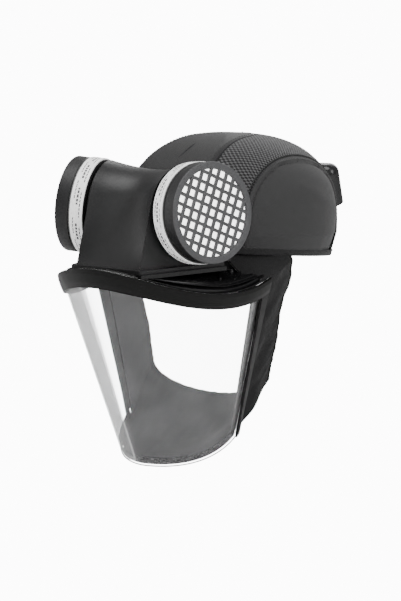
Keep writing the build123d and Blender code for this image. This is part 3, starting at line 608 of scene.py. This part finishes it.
def cap_profile(x, turn, inset=0.0):
    """Points of the dome at a distance x from the middle. The turn runs from 0, front, to pi, rear."""
    x, turn = np.broadcast_arrays(np.asarray(x, float), np.asarray(turn, float))
    half_w, half_l, top = CAP_HALF[0] - inset, CAP_HALF[1] - inset, CAP_HEIGHT - inset

    def inside(reach):
        size = cap_size(top * reach * np.sin(turn), inset)
        return (x / half_w) ** 2 + (reach * np.cos(turn)) ** 2 <= size**2

    low = narrow(np.zeros_like(x), np.full_like(x, 1.02), inside, 36)
    return cap_world(x, -half_l * low * np.cos(turn), top * low * np.sin(turn))


def cap_round(azimuth, height, inset=0.0):
    """Points of the dome at an azimuth about its own axis and a height in its own axes."""
    size = cap_size(height, inset)
    half_w, half_l = (half - inset for half in CAP_HALF)
    return cap_world(half_w * size * np.cos(azimuth), half_l * size * np.sin(azimuth), height)


def under_edge(point, lift):
    return point[..., 2] + EDGE_SLOPE * point[..., 1] < lift


def edge_turn(x, rear, lift):
    """Turn at which the dome meets the cap's lower edge, lifted a little."""
    x = np.asarray(x, float)
    turn = narrow(np.full_like(x, -0.6), np.full_like(x, pi / 2),
                  lambda at: under_edge(cap_profile(x, pi - at if rear else at), lift), 30)
    return pi - turn if rear else turn


def edge_height(azimuth, lift, inset=0.0):
    """Height in the cap's own axes at which the dome meets its lower edge, lifted a little."""
    azimuth = np.asarray(azimuth, float)
    return narrow(np.full_like(azimuth, -0.036), np.full_like(azimuth, 0.06),
                  lambda at: under_edge(cap_round(azimuth, at, inset), lift), 30)


def normals(net):
    """Unit normals of a net of points, turned away from the cap's middle."""
    down = np.gradient(net, axis=0)
    along = np.gradient(net, axis=1)
    out = np.cross(down, along)
    length = np.linalg.norm(out, axis=-1, keepdims=True)
    out = out / np.maximum(length, 1e-12)
    ball = net - np.array(DOME_MIDDLE)
    ball /= np.linalg.norm(ball, axis=-1, keepdims=True)
    out = np.where(length < 1e-10, ball, out)
    return out * np.sign((out * ball).sum(-1, keepdims=True))


def bell(distance, width):
    return np.exp(-(distance / width) ** 2)


def declare_sheet(made, width=None):
    """Measure a piece's spread along X, unless a width is given; the result is not kept."""
    places = [vertex.co.x for vertex in made.data.vertices]
    width = width or max(places) - min(places)


def net_piece(name, net, uv, thick, look, replaced):
    """A numpy net of points as a sheet with thickness towards the inside."""
    made = piece(name, *grid([[tuple(point) for point in row] for row in net]), look, replaced, uv)
    face_out(made)
    return thicken(made, thick)


def stitches(name, path, look="binding", length=0.0024, gap=0.0016, radius=0.00024):
    """Short raised threads along a path of (point, outward) pairs."""
    verts, faces = [], []
    run = 0.0
    points = np.array([np.array(point) for point, _ in path])
    outs = np.array([np.array(out) for _, out in path])
    steps = run_length(points)

    def at(place):
        return [np.array([np.interp(place, steps, line[:, k]) for k in range(3)]) for line in (points, outs)]

    sides = 6
    while run + length < steps[-1]:
        base = len(verts)
        for k in range(5):
            share = k / 4
            here, out = at(run + length * share)
            ahead, _ = at(min(run + length * share + 0.0003, steps[-1]))
            along = ahead - here
            along /= max(np.linalg.norm(along), 1e-9)
            out = out / np.linalg.norm(out)
            across = np.cross(along, out)
            swell = radius * (0.35 + 0.65 * sin(pi * share))
            middle = here + out * (radius * 0.9 * sin(pi * share) - radius * 0.25)
            for s in range(sides):
                a = tau * s / sides
                verts.append(middle + (across * cos(a) + out * sin(a)) * swell)
        for ring in range(base, base + 4 * sides, sides):
            for s in range(sides):
                n = (s + 1) % sides
                faces.append((ring + s, ring + n, ring + sides + n, ring + sides + s))
        run += length + gap
    uv = [(float(v[0]), float(v[2])) for v in verts]
    return piece(name, verts, faces, look, uv=uv, angle=80)


# ---- cap panels ----
PANEL_END_Y = 0.024


def panel_half(y):
    """Half width of the smooth front panel where the middle line passes a Y."""
    front = 0.0292 + 0.104 * np.clip(-0.017 - y, 0, None)
    closing = np.sqrt(np.clip(1 - (np.clip(y + 0.017, 0, None) / (PANEL_END_Y + 0.017)) ** 2, 0, 1))
    return np.minimum(front, 0.0365) * closing


def profile_run(turn):
    """Length along the middle line from the front, for the weave."""
    samples = np.linspace(-0.5, pi + 0.5, 500)
    return np.interp(turn, samples, run_length(cap_profile(np.zeros(500), samples)))


def turn_at_y(y):
    samples = np.linspace(0.0, pi, 400)
    return float(np.interp(y, cap_profile(np.zeros(400), samples)[:, 1], samples))


EDGE_LIFT = 0.0012
PANEL_END = turn_at_y(PANEL_END_Y)
# Each wrinkle of the front panel: distance from the front edge, rise, width, middle X, reach and slant.
WRINKLES = [(0.060, 0.0007, 0.0040, -0.016, 0.022, 0.05), (0.071, 0.0005, 0.0036, 0.010, 0.026, -0.06),
            (0.083, 0.0004, 0.0050, -0.006, 0.028, 0.03), (0.100, 0.0003, 0.0070, -0.010, 0.020, 0.06)]


def half_along(t):
    """Half width of the front panel at a share of its length along the middle line."""
    base = edge_turn(np.zeros(1), False, EDGE_LIFT)[0]
    middle_turn = base + (PANEL_END - base) * t
    return panel_half(cap_profile(np.zeros_like(middle_turn), middle_turn)[..., 1])


def front_panel():
    """Smooth front panel with its wrinkles, sewn down along both sides."""
    share = np.linspace(-1, 1, 81)[None, :]
    t = np.sin(np.linspace(0, 1, 181) * pi / 2 * 0.999)[:, None]
    half = half_along(t)
    x = share * half
    turn = edge_turn(x, False, EDGE_LIFT) * (1 - t) + PANEL_END * t
    net = cap_profile(x, turn)
    run = profile_run(turn)
    push = 0.0004 + 0.0040 * bell(run - 0.088, 0.030)
    for place, rise, width, middle_x, reach, slant in WRINKLES:
        line = place + slant * x + 4.0 * (x - middle_x) ** 2
        ridge = bell(run - line, width) - 0.5 * bell(run - line - width * 1.6, width)
        push = push + rise * ridge * bell(x - middle_x, reach)
    border = (1 - np.abs(share)) * half
    push = push - 0.0006 * bell(border - 0.0004, 0.0011) + 0.0003 * bell(border - 0.0035, 0.0014)
    net = net + normals(net) * push[..., None]
    uv = pairs(np.broadcast_to(x, run.shape), run)
    made = net_piece("front_panel_cloth", net, uv, 0.0016, "cloth", "front_panel")
    out = normals(net)
    for side, column in (("right", 1), ("left", -2)):
        path = net[::2, column] - out[::2, column] * 0.0002
        tube(f"front_seam_{side}", path, 0.00075, "binding")
        keep = 4 if column > 0 else -5
        thread = zip(net[0:150:2, keep], out[0:150:2, keep])
        stitches(f"front_stitch_{side}", list(thread))
    declare_sheet(made)


def crown_mesh():
    """Air mesh from the front panel over the crown to the rear, in two mirrored halves of one sheet."""
    verts, faces, uvs = [], [], []
    for side in (-1, 1):
        share = np.linspace(0, 1, 44)[None, :]
        s = np.linspace(0, 2, 241)[:, None]
        t = np.sin(np.clip(s, 0, 1) * pi / 2 * 0.999)
        half = np.where(s < 1, half_along(t), 0)
        x = half + (SIDE_SEAM_X - half) * share
        front = edge_turn(x, False, EDGE_LIFT) * (1 - t) + PANEL_END * t
        rear_edge = edge_turn(x, True, EDGE_LIFT)
        u = np.clip(s - 1, 0, 1)
        turn = np.where(s < 1, front, PANEL_END * (1 - u) + rear_edge * u)
        net = cap_profile(side * x, turn)
        border = SIDE_SEAM_X - x
        push = 0.0004 - 0.0005 * bell(border, 0.0012) - 0.0005 * bell(x - half, 0.0012) * (s < 1)
        net = net + normals(net) * push[..., None]
        uvs += pairs(side * CAP_HALF[0] * np.arcsin(x / CAP_HALF[0]), profile_run(turn))
        more, quads = grid([[tuple(p) for p in row] for row in net])
        faces += [tuple(i + len(verts) for i in quad) for quad in quads]
        verts += more
    made = piece("crown_mesh_cloth", verts, faces, "mesh", "crown_mesh_panel", uvs)
    face_out(made)
    declare_sheet(thicken(made, 0.0015))


def side_panel(side, name):
    """Smooth side panel with a rolled seam along its arch and a stitched line inside it."""
    limit = acos(SIDE_SEAM_X / CAP_HALF[0])
    k = np.linspace(-1, 1, 161)
    azimuth = limit * np.sin(k * pi / 2) * 0.9995
    ratio = SIDE_SEAM_X / (CAP_HALF[0] * np.cos(azimuth))
    high = CAP_HEIGHT * (1 - np.clip(ratio, 0, 1) ** CAP_ROUNDNESS) ** (1 / CAP_ROUNDNESS)
    low = np.maximum(edge_height(azimuth, EDGE_LIFT), (ratio - 1) / 3.0)
    rows = np.linspace(0, 1, 64) ** 0.8
    h = high[None, :] + (low - high)[None, :] * rows[:, None]
    net = cap_round(np.broadcast_to(azimuth, h.shape), h)
    down = run_length(net)
    distance = np.min(np.linalg.norm(net[:, :, None, :] - net[0][None, None, ::2, :], axis=-1), axis=2)
    rim = 0.0058
    push = 0.0014 * np.sqrt(np.clip(1 - ((distance - rim * 0.5) / (rim * 0.5)) ** 2, 0, 1)) * (distance < rim)
    push = push - 0.0007 * bell(distance - rim, 0.0008)
    push = push + 0.0005 * np.clip((distance - rim) / 0.012, 0, 1) ** 0.6
    push = push + 0.0005 * bell(down - 0.035 - 0.006 * np.sin(azimuth * 6), 0.006)
    rear = np.clip((azimuth - 0.15) / 0.4, 0, 1)
    push = push - 0.0030 * rear * np.clip((0.045 - h) / 0.05, 0, 1)
    net = net + normals(net) * push[..., None]
    if side < 0:
        net = net * np.array([-1, 1, 1])
    uv = pairs(net[..., 1], down)
    made = net_piece(f"side_panel_{name}_cloth", net, uv, 0.0015, "side", f"side_panel_{name}")
    out = normals(net)
    pick = [int(np.argmin(np.abs(distance[:, j] - rim))) for j in range(h.shape[1])]
    path = [(net[pick[j], j], out[pick[j], j]) for j in range(8, h.shape[1] - 8)]
    thread = stitches(f"side_stitch_{name}", path)
    cord = tube(f"side_seam_{name}", net[0][1:-1], 0.0008, "binding")
    declare_sheet(made, 0.15)


def ring_band(name, profile, look, replaced=(), start=0.0, stop=tau, count=240, ripple=None):
    """Sweep a closed profile of (out, up) pairs round the cap's lower edge."""
    azimuth = np.linspace(start, stop, count + 1)
    columns = []
    for out, up in profile:
        extra = np.array([ripple(a, out, up) for a in azimuth]) if ripple else np.zeros(count + 1)
        columns.append(cap_round(azimuth, edge_height(azimuth, up), -(out + extra)))
    net = np.stack(columns + [columns[0]], 1)
    around = run_length(np.array(profile + profile[:1]))
    uv = [(float(r), float(c)) for r in run_length(net[:, 0]) for c in around]
    verts, faces = grid([[tuple(p) for p in row] for row in net])
    if stop - start < tau - 1e-6:
        close_ends(verts, faces, net.shape[1])
    return piece(name, verts, faces, look, replaced, uv, angle=50)


def edge_binding():
    """Tape folded round the cap's lower edge, with one row of stitches."""
    profile = [(0.0009, 0.0052), (0.0011, -0.0003), (-0.0046, -0.0003), (-0.0046, 0.0032), (-0.0002, 0.0032),
               (-0.0002, 0.0052)]
    ring_band("edge_binding_tape", rounded(profile, 0.0005, 3), "binding", "edge_binding")
    azimuth = np.linspace(0, tau, 500)
    points = cap_round(azimuth, edge_height(azimuth, 0.0040), -0.00105)
    outs = [(cos(a) / CAP_HALF[0], sin(a) / CAP_HALF[1], 0) for a in azimuth]
    stitches("edge_binding_thread", list(zip(points, outs)), "binding", 0.0020, 0.0016, 0.00022)


def headband():
    """Quilted sweatband round the head and the ribbed elastic that closes it at the nape."""
    def puff(turn, out, up):
        return -0.0007 * abs(sin(turn * 22)) ** 0.7 * (1 if out < -0.009 else 0)

    def ribs(turn, out, up):
        return 0.00025 * sin(turn * 260)

    rear, half = pi / 2, radians(36.5)
    pad = [(-0.0077, 0.0028), (-0.0077, 0.033), (-0.0104, 0.033), (-0.0108, 0.018), (-0.0104, 0.0028)]
    made = ring_band("sweatband_pad", rounded(pad, 0.0012, 3), "sweat", "sweatband", rear + half,
                     rear + tau - half, 220, puff)
    strap = rounded([(-0.0082, 0.0068), (-0.0082, 0.0272), (-0.0094, 0.0272), (-0.0094, 0.0068)], 0.0004, 2)
    ring_band("nape_strap_elastic", strap, "webbing", "nape_strap", rear - half * 0.98, rear + half * 0.98,
              200, ribs)


def crown_pad():
    """Quilted foam lining under the shell's crown."""
    rings, spokes = 40, 96
    level = np.linspace(0.0795, 0.0480, rings)
    azimuth = np.linspace(0, tau, spokes + 1)
    h, a = np.meshgrid(level, azimuth, indexing="ij")
    outer = cap_round(a, np.minimum(h, CAP_HEIGHT - 0.0081), 0.0079)
    inward = normals(outer)
    quilt = 0.0036 + 0.0012 * (np.abs(np.sin(a * 6)) * np.abs(np.sin((h - 0.048) * 160))) ** 0.5
    rim = np.clip((h - 0.048) / 0.004, 0, 1) ** 0.5
    inner = outer - inward * (quilt * (0.25 + 0.75 * rim))[..., None]
    cap_middle = cap_world(0.0, 0.0, CAP_HEIGHT - 0.0081)
    top_out = np.broadcast_to(cap_middle, (1, spokes + 1, 3))
    top_in = np.broadcast_to(cap_middle - np.array([0, 0, 0.0042]), (1, spokes + 1, 3))
    loop = np.concatenate([top_out, outer, inner[::-1], top_in])
    verts, faces = grid([[tuple(p) for p in row] for row in loop])
    uv = [(float(v[0]), float(v[1])) for v in verts]
    piece("crown_pad_foam", verts, faces, "foam", "crown_pad", uv)


front_panel()
crown_mesh()
for side, name in SIDES:
    side_panel(side, name)
edge_binding()
headband()
crown_pad()


# ---- visor surface ----
def upper_edge_z(y):
    run = y - VISOR_TOP[2]
    return -0.0101 + 0.321 * run + 3.48 * run**2


def lower_edge_z(y):
    run = y - VISOR_BOTTOM[2]
    return -0.1458 + 0.734 * run + 6.26 * run**2


def visor_at(turn, height, out=0.0):
    """Point of the ruled visor surface at a turn from straight ahead (degrees) and a height."""
    side, ahead = sin(radians(turn)), cos(radians(turn))
    top = Vector((VISOR_TOP[0] * side, VISOR_TOP[2] - VISOR_TOP[1] * ahead, 0))
    squareness = 2 / 1.64
    low = Vector((copysign(abs(side) ** squareness, side) * VISOR_BOTTOM[0],
                  VISOR_BOTTOM[2] - VISOR_BOTTOM[1] * abs(ahead) ** squareness, 0))
    top.z = upper_edge_z(top.y)
    low.z = lower_edge_z(low.y)
    point = top + (low - top) * ((height - top.z) / (low.z - top.z))
    outward = Vector((side / VISOR_TOP[0], -ahead / VISOR_TOP[1], 0)).normalized()
    return point + outward * out


def visor_edge(turn, edge, lift=0.0, out=0.0):
    """Point of the surface where it crosses an edge's height curve, lifted a little."""
    height = -0.02
    for _ in range(12):
        height = edge(visor_at(turn, height).y) + lift
    return visor_at(turn, height, out)


def visor_strip(name, turns, top, bottom, profile, look, replaced):
    """Band on the visor between two (edge, lift) curves, its section given as (out, share down) pairs."""
    rows, uv, run, before = [], [], 0.0, None
    for turn in turns:
        upper = visor_edge(turn, *top)
        lower = visor_edge(turn, *bottom)
        row = []
        for out, share in profile:
            height = upper.z + (lower.z - upper.z) * share
            row.append(visor_at(turn, height, out))
        if before is not None:
            run += (row[0] - before).length
        before = row[0]
        rows.append(row + [row[0]])
        tall = (upper - lower).length
        uv += [(run, share * tall) for _, share in profile] + [(run, profile[0][1] * tall)]
    verts, faces = grid(rows)
    close_ends(verts, faces, len(rows[0]))
    piece(name, verts, faces, look, replaced, uv, angle=50)


def turns_between(start, stop, count):
    return [start + (stop - start) * i / count for i in range(count + 1)]


def visor_pieces():
    """Brow band, hook strip, side trims and edge tapes round the clear sheet."""
    band = [(0.0001, 0.02), (0.0030, 0.02), (0.0036, 0.25), (0.0036, 0.7), (0.0030, 0.985), (0.0001, 0.985)]
    band = [(out, min(max(share, 0.0), 1.0)) for out, share in rounded(band, 0.0009, 3)]
    under_band = (upper_edge_z, -BAND_H)
    visor_strip("brow_band_rubber", turns_between(-90, 90, 220), (upper_edge_z, 0.0), under_band, band,
                "band", "brow_band")
    hook = [(-0.0011, 0.0), (-0.0025, 0.04), (-0.0027, 0.5), (-0.0025, 0.96), (-0.0011, 1.0)]
    visor_strip("hook_strip_tape", turns_between(-HOOK_TURN, HOOK_TURN, 200), (lower_edge_z, 0.0085),
                (lower_edge_z, 0.0018), hook, "hook", "hook_strip")
    trim = [(0.0001, 0.0), (0.0024, 0.0), (0.0028, 0.01), (0.0028, 0.99), (0.0024, 1.0), (0.0001, 1.0)]
    tape = [(-0.0011, 0.0), (-0.0023, 0.0), (-0.0025, 0.01), (-0.0025, 0.99), (-0.0023, 1.0), (-0.0011, 1.0)]
    for sign, name in SIDES:
        for node, part, turns, count, lift, profile, look in (
                ("side_trim", "rubber", TRIM_TURNS, 10, 0.0004, trim, "rubber"),
                ("edge_tape", "strip", TAPE_TURNS, 20, 0.0088, tape, "tape")):
            around = turns_between(sign * turns[0], sign * turns[1], count)
            visor_strip(f"{node}_{name}_{part}", around, under_band, (lower_edge_z, lift), profile, look,
                        f"{node}_{name}")
    lens()


def lens():
    """The clear sheet, with its edges rounded over, and a light grey bead along its lower edge as a painted
    highlight.
    """
    turns = turns_between(-90, 90, 240)
    outer = []
    for turn in turns:
        upper = visor_edge(turn, upper_edge_z, -0.0006)
        lower = visor_edge(turn, lower_edge_z, 0.0)
        outer.append([visor_at(turn, upper.z + (lower.z - upper.z) * k / 60) for k in range(61)])
    made = piece("visor_lens_sheet", *grid(outer), "clear", "visor_lens")
    face_out(made, (0, -0.07, -0.08))
    thicken(made, VISOR_T)
    # painted highlight: the bead along the lower edge is light grey for the glint of the clear edge
    tube("visor_lens_edge", [row[60] + Vector((0, 0.0004, 0.0003)) for row in outer], 0.00055, "edge_glint")


# ---- face seal ----
HEM_BOTTOM_Z = -0.1245
HEM_Y = -0.0285
SIDE_SHARE = 0.55


def hem_at(share):
    """Point of the elastic hem: down one side with a slack wave, then round under the chin."""
    if share < SIDE_SHARE:
        fall = share / SIDE_SHARE
        wave = 0.0042 * bell(fall - 0.17, 0.10) - 0.0010 * bell(fall - 0.45, 0.10)
        back = -0.0235 - 0.005 * min(1, fall * 3) + wave + 0.0016 * bell(fall - 0.72, 0.12)
        return Vector((0.0805 - 0.0186 * fall**1.1, back, -0.001 - 0.099 * fall))
    turn = (share - SIDE_SHARE) / (1 - SIDE_SHARE) * pi / 2
    return Vector((0.0619 * cos(turn), HEM_Y, -0.100 + (HEM_BOTTOM_Z + 0.100) * sin(turn) ** 0.9))


def rim_at(share):
    """Point of the seal's sewn edge on the visor, level by level with the hem's."""
    if share < SIDE_SHARE:
        return visor_at(SEAL_TURN, -0.012 - 0.128 * share / SIDE_SHARE, -0.0031)
    turn = SEAL_TURN * (1 - share) / (1 - SIDE_SHARE)
    return visor_edge(turn, lower_edge_z, 0.0040, -0.0032)


def seal_net(inset):
    """Cloth from the visor's edge to the elastic hem, gathered more and more toward the hem."""
    last, count = 360, 44
    shares = turns_between(0, 2, last)
    rims = [rim_at(min(s, 2 - s)) for s in shares]
    hems = [hem_at(min(s, 2 - s)) for s in shares]
    for points in (rims, hems):
        for i, s in enumerate(shares):
            points[i].x = copysign(points[i].x, 1 - s) if s != 1 else 0.0
        for _ in range(6):
            points[1:-1] = [(points[i - 1] + points[i] * 2 + points[i + 1]) / 4 for i in range(1, last)]
    rows = []
    for i, s in enumerate(shares):
        rim, hem = rims[i], hems[i]
        after, before = min(i + 2, last), max(i - 2, 0)
        along = (rims[after] + hems[after] - rims[before] - hems[before]).normalized()
        outward = (hem - rim).cross(along).normalized()
        if outward.dot((rim + hem) / 2 - Vector((0, -0.07, -0.06))) < 0:
            outward = -outward
        row = []
        reach = (hem - rim).length
        for k in range(count + 1):
            t = k / count
            fold = 0.00022 * sin(s * 95 + 2.0 * sin(s * 13)) + 0.00012 * sin(s * 211 + 1.0)
            slack = 0.0035 * min(reach / 0.06, 1) * sin(pi * t) * (0.75 + 0.25 * sin(s * 9 + 1.2))
            drape = 0.0007 * sin(pi * t) * sin(s * 23 + 5 * t + 1.4 * sin(s * 7))
            crease = noise.noise(Vector((s * 16, t * 3.2, 1.7))) * 0.0014 * sin(pi * min(t * 1.1, 1))
            row.append(rim.lerp(hem, t) + outward * (slack + fold * t**2.2 + drape + crease - inset))
        rows.append(row)
    return [gusset_row(rows[0], 1, g / 8, inset) for g in range(8, 0, -1)] + rows + [
        gusset_row(rows[-1], -1, g / 8, inset) for g in range(1, 9)]


def gusset_row(row, side, share, inset):
    """Row of the seal's upper end, carried up from the first strip to the cap's lower edge."""
    front, rear = Vector((side * 0.0478, -0.0795, 0.0098)), Vector((side * 0.0790, -0.0238, 0.0040))
    out = Vector((side * 0.9, -0.4, 0)) * inset
    made = []
    for k, point in enumerate(row):
        across = k / (len(row) - 1)
        sewn = front.lerp(rear, across) - out
        sag = 0.0072 * sin(pi * share) * (1 - across) ** 2
        made.append(point.lerp(sewn, share) - Vector((0, 0, sag)))
    return made


def face_seal():
    """Outer cloth, lighter lining, elastic hem and one row of thread along the sewn edge."""
    outer = seal_net(0.0)
    made = cloth_piece("face_seal_cloth", outer, 0.0007, "seal_out", "face_seal")
    lining = cloth_piece("face_seal_lining", seal_net(0.0011), 0.0004, "seal_in", "face_seal")
    hem = tube("face_seal_hem", [row[-1] for row in outer][2:-2:2], 0.0013, "seal_out", 14, "elastic_webbing")
    sewn = [(row[3], (row[3] - row[0]).cross(Vector((0, 0, 1))).normalized()) for row in outer[14:-14]]
    thread = stitches("face_seal_thread", sewn, "seal_out", 0.0022, 0.0015, 0.0002)
    for cloth, extra in ((made, [hem, thread]), (lining, [])):
        declare_sheet(cloth, 0.40)


# ---- peak tray ----
def tray_z(x, y):
    """Height of the peak tray's arched top."""
    drop = 0.0049 * (max(-0.165 - y, 0) / 0.0266) ** 2
    sag = float(np.interp(y, [-0.112, -0.058], [2.9, 1.5]))
    return drop - sag * x * x


def tray_wall(side, name):
    """Soft lip that stands on the tray's rear edge and closes it against the cap beside the blower."""
    azimuth = np.linspace(radians(-70), radians(-29), 70)
    top = cap_round(azimuth, edge_height(azimuth, 0.0008), 0.0034)
    outline = [(0.0, 0.0), (0.0, 0.35), (0.0008, 0.85), (0.0026, 1.0), (0.0026, 1.06), (-0.0012, 1.06),
               (-0.0012, 0.2), (-0.0008, 0.0)]
    outline = rounded(outline, 0.0005, 2)
    rows = []
    for point in top:
        x, y = float(point[0]), float(point[1])
        foot = tray_z(x, min(y, -0.058)) - 0.001
        outward = Vector((x / CAP_HALF[0], (y - CAP_CENTRE_Y) / CAP_HALF[1], 0)).normalized()
        row = []
        for out, down in outline:
            z = float(point[2]) + (foot - float(point[2])) * down
            row.append(Vector((side * (x + outward.x * out), y + outward.y * out, z)))
        rows.append(row + [row[0]])
    verts, faces = grid(rows)
    close_ends(verts, faces, len(rows[0]))
    piece(f"peak_lip_{name}", verts, faces, "rubber", slot="peak_plastic", angle=50)


def tray_details():
    """Bead, inner line and top skin of the tray, its lips to the cap, and the arms and pivots on it."""
    def rim_path(inset, lift, on_rim, start):
        path = []
        for turn in turns_between(start, 180 - start, 150):
            x = (TRAY_HALF[0] - inset) * cos(radians(turn))
            y = VISOR_TOP[2] - (TRAY_HALF[1] - inset) * sin(radians(turn))
            path.append((x, y, (upper_edge_z(y) + 0.0015 if on_rim else tray_z(x, y)) + lift))
        return path
    tube("peak_tray_bead", rim_path(0.0013, -0.0003, True, 4), 0.0013, "peak", 14)
    tube("peak_tray_line", rim_path(0.0075, 0.0003, False, 1), 0.0008, "peak")
    rows = []
    for turn in turns_between(1, 179, 120):
        side, ahead = cos(radians(turn)), sin(radians(turn))
        row = []
        for k in range(25):
            share = k / 24
            x = side * ((TRAY_HALF[0] - 0.0020) * (1 - share) + 0.5 * TRAY_HALF[0] * share)
            y = VISOR_TOP[2] - ahead * ((TRAY_HALF[1] - 0.0020) * (1 - share) + 0.25 * TRAY_HALF[1] * share)
            lip = 0.0007 * bell(share - 0.22, 0.03) + 0.0015 * max(0, 1 - share / 0.03)
            row.append(Vector((x, y, tray_z(x, y) + 0.0003 + lip)))
        rows.append(row)
    cloth_piece("peak_tray_top", rows, 0.0004, "peak")
    for side, name in SIDES:
        tray_wall(side, name)
        foot = Vector((side * 0.0575, -0.0800, tray_z(0.0575, -0.080)))
        heel = Vector((side * 0.0405, -0.0905, tray_z(0.0405, -0.0905) + 0.0022))
        arm = [heel.lerp(foot, share) + Vector((0, 0, lift))
               for share, lift in ((0, 0), (0.3, 0.0016), (0.7, 0.0018), (1, 0.0022))]
        tube(f"peak_arm_{name}", arm, 0.0007, "pack", slot="peak_plastic")
        post = [(0.0001, -0.0010), (0.0022, -0.0010), (0.0022, 0.0014), (0.0015, 0.0016), (0.0015, 0.0030),
                (0.0001, 0.0030)]
        lathe(f"peak_pivot_{name}", Matrix.Translation(foot), rounded(post, 0.0004, 3), "pack", segments=32,
              slot="peak_plastic")


visor_pieces()
tray_details()
face_seal()

# ---- hard CAD nodes that are shown as they are, with softened edges ----
FINISH = [
    ("housing", 0.0008, ["blower_housing"]),
    ("housing", 0.0006, ["base_plate"]),
    ("housing", 0.0004, ["blower_back_cover"]),
    ("dark", 0.0003, ["port_collar_left", "port_collar_right", "fan_casing"]),
    ("dark", 0.0002, ["motor_bracket", "brow_retainer"]),
    ("peak", 0.0, ["peak_tray"]),
    ("pack", 0.0, ["battery_case_outer", "battery_case_inner"]),
    ("pack", 0.0006, ["battery_cradle"]),
    ("pack", 0.0004, ["release_latch"]),
    ("rubber", 0.0004, ["power_button"]),
    ("rubber", 0.0001, ["power_lead", "filter_gasket_left", "filter_gasket_right"]),
    ("light", 0.0002, ["status_lens"]),
    ("brass", 0.0001, ["charge_socket", "battery_contacts"]),
    ("circuit", 0.0001, ["switch_board", "control_board"]),
    ("cell", 0.0003, ["battery_cells"]),
    ("shell", 0.0005, ["cap_shell"]),
    ("shell", 0.0002, ["impeller"]),
    ("steel", 0.0003, ["motor"]),
    ("steel", 0.0001, ["fan_shaft", "fan_bearings", "housing_screws"]),
]
for look, width, names in FINISH:
    for name in names:
        nodes[name].data.materials.clear()
        nodes[name].data.materials.append(LOOKS[look])
        if width:
            bevel(nodes[name], width)

# ---- floor, light and camera ----
bpy.ops.mesh.primitive_plane_add(size=8, location=(0, 0, FLOOR_Z))
floor = bpy.context.object
floor.name = "studio_floor"
ground = Shader("studio_floor_look", 0.9, (0.93, 0.93, 0.93))
ground.tint(ground.noise(2.0, 2.0), (0.90, 0.90, 0.90), (0.93, 0.93, 0.93))
floor.data.materials.append(ground.material)


def lit_for_camera(tree, shader, out, glow):
    """Let a backdrop look white to the camera without adding that much light to the object."""
    path = tree.nodes.new("ShaderNodeLightPath")
    white = tree.nodes.new(glow)
    white.inputs["Color"].default_value = (1, 1, 1, 1)
    white.inputs["Strength"].default_value = BACKDROP_GLOW
    mix = tree.nodes.new("ShaderNodeMixShader")
    tree.links.new(path.outputs["Is Camera Ray"], mix.inputs[0])
    tree.links.new(shader, mix.inputs[1])
    tree.links.new(white.outputs[0], mix.inputs[2])
    tree.links.new(mix.outputs[0], out.inputs["Surface"])


lit_for_camera(ground.tree, ground.surface.outputs[0], ground.tree.nodes["Material Output"],
               "ShaderNodeEmission")


def lamp(name, place, target, size, watts):
    data = bpy.data.lights.new(name, "AREA")
    data.shape = "RECTANGLE"
    data.size, data.size_y = size
    data.energy = watts
    made = bpy.data.objects.new(name, data)
    bpy.context.scene.collection.objects.link(made)
    made.location = place
    made.rotation_euler = (Vector(target) - Vector(place)).to_track_quat("-Z", "Y").to_euler()


lamp("key_softbox", (-0.05, -0.45, 1.60), (0, -0.08, 0.02), (1.5, 0.8), 30)
lamp("side_softbox", (1.5, -0.10, 0.75), (0, 0, 0), (0.7, 0.9), 15)
lamp("camera_fill", (0.75, -1.35, 0.35), (0, 0, 0), (1.2, 1.0), 4)
lamp("left_softbox", (-1.4, -0.7, 0.4), (0, 0, 0), (0.7, 1.0), 5)
lamp("rear_softbox", (-0.3, 1.3, 0.9), (0, 0, 0), (1.0, 0.8), 12)
world = bpy.data.worlds.new("studio")
world.use_nodes = True
sky = world.node_tree.nodes["Background"]
sky.inputs[0].default_value = (1, 1, 1, 1)
sky.inputs[1].default_value = 0.35
lit_for_camera(world.node_tree, sky.outputs[0], world.node_tree.nodes["World Output"], "ShaderNodeBackground")
bpy.context.scene.world = world

data = bpy.data.cameras.new("photo_camera")
data.lens = CAMERA_LENS
data.sensor_width = 36
camera = bpy.data.objects.new("photo_camera", data)
camera.location = CAMERA_AT
camera.rotation_euler = CAMERA_TURN
bpy.context.scene.collection.objects.link(camera)
bpy.context.scene.camera = camera
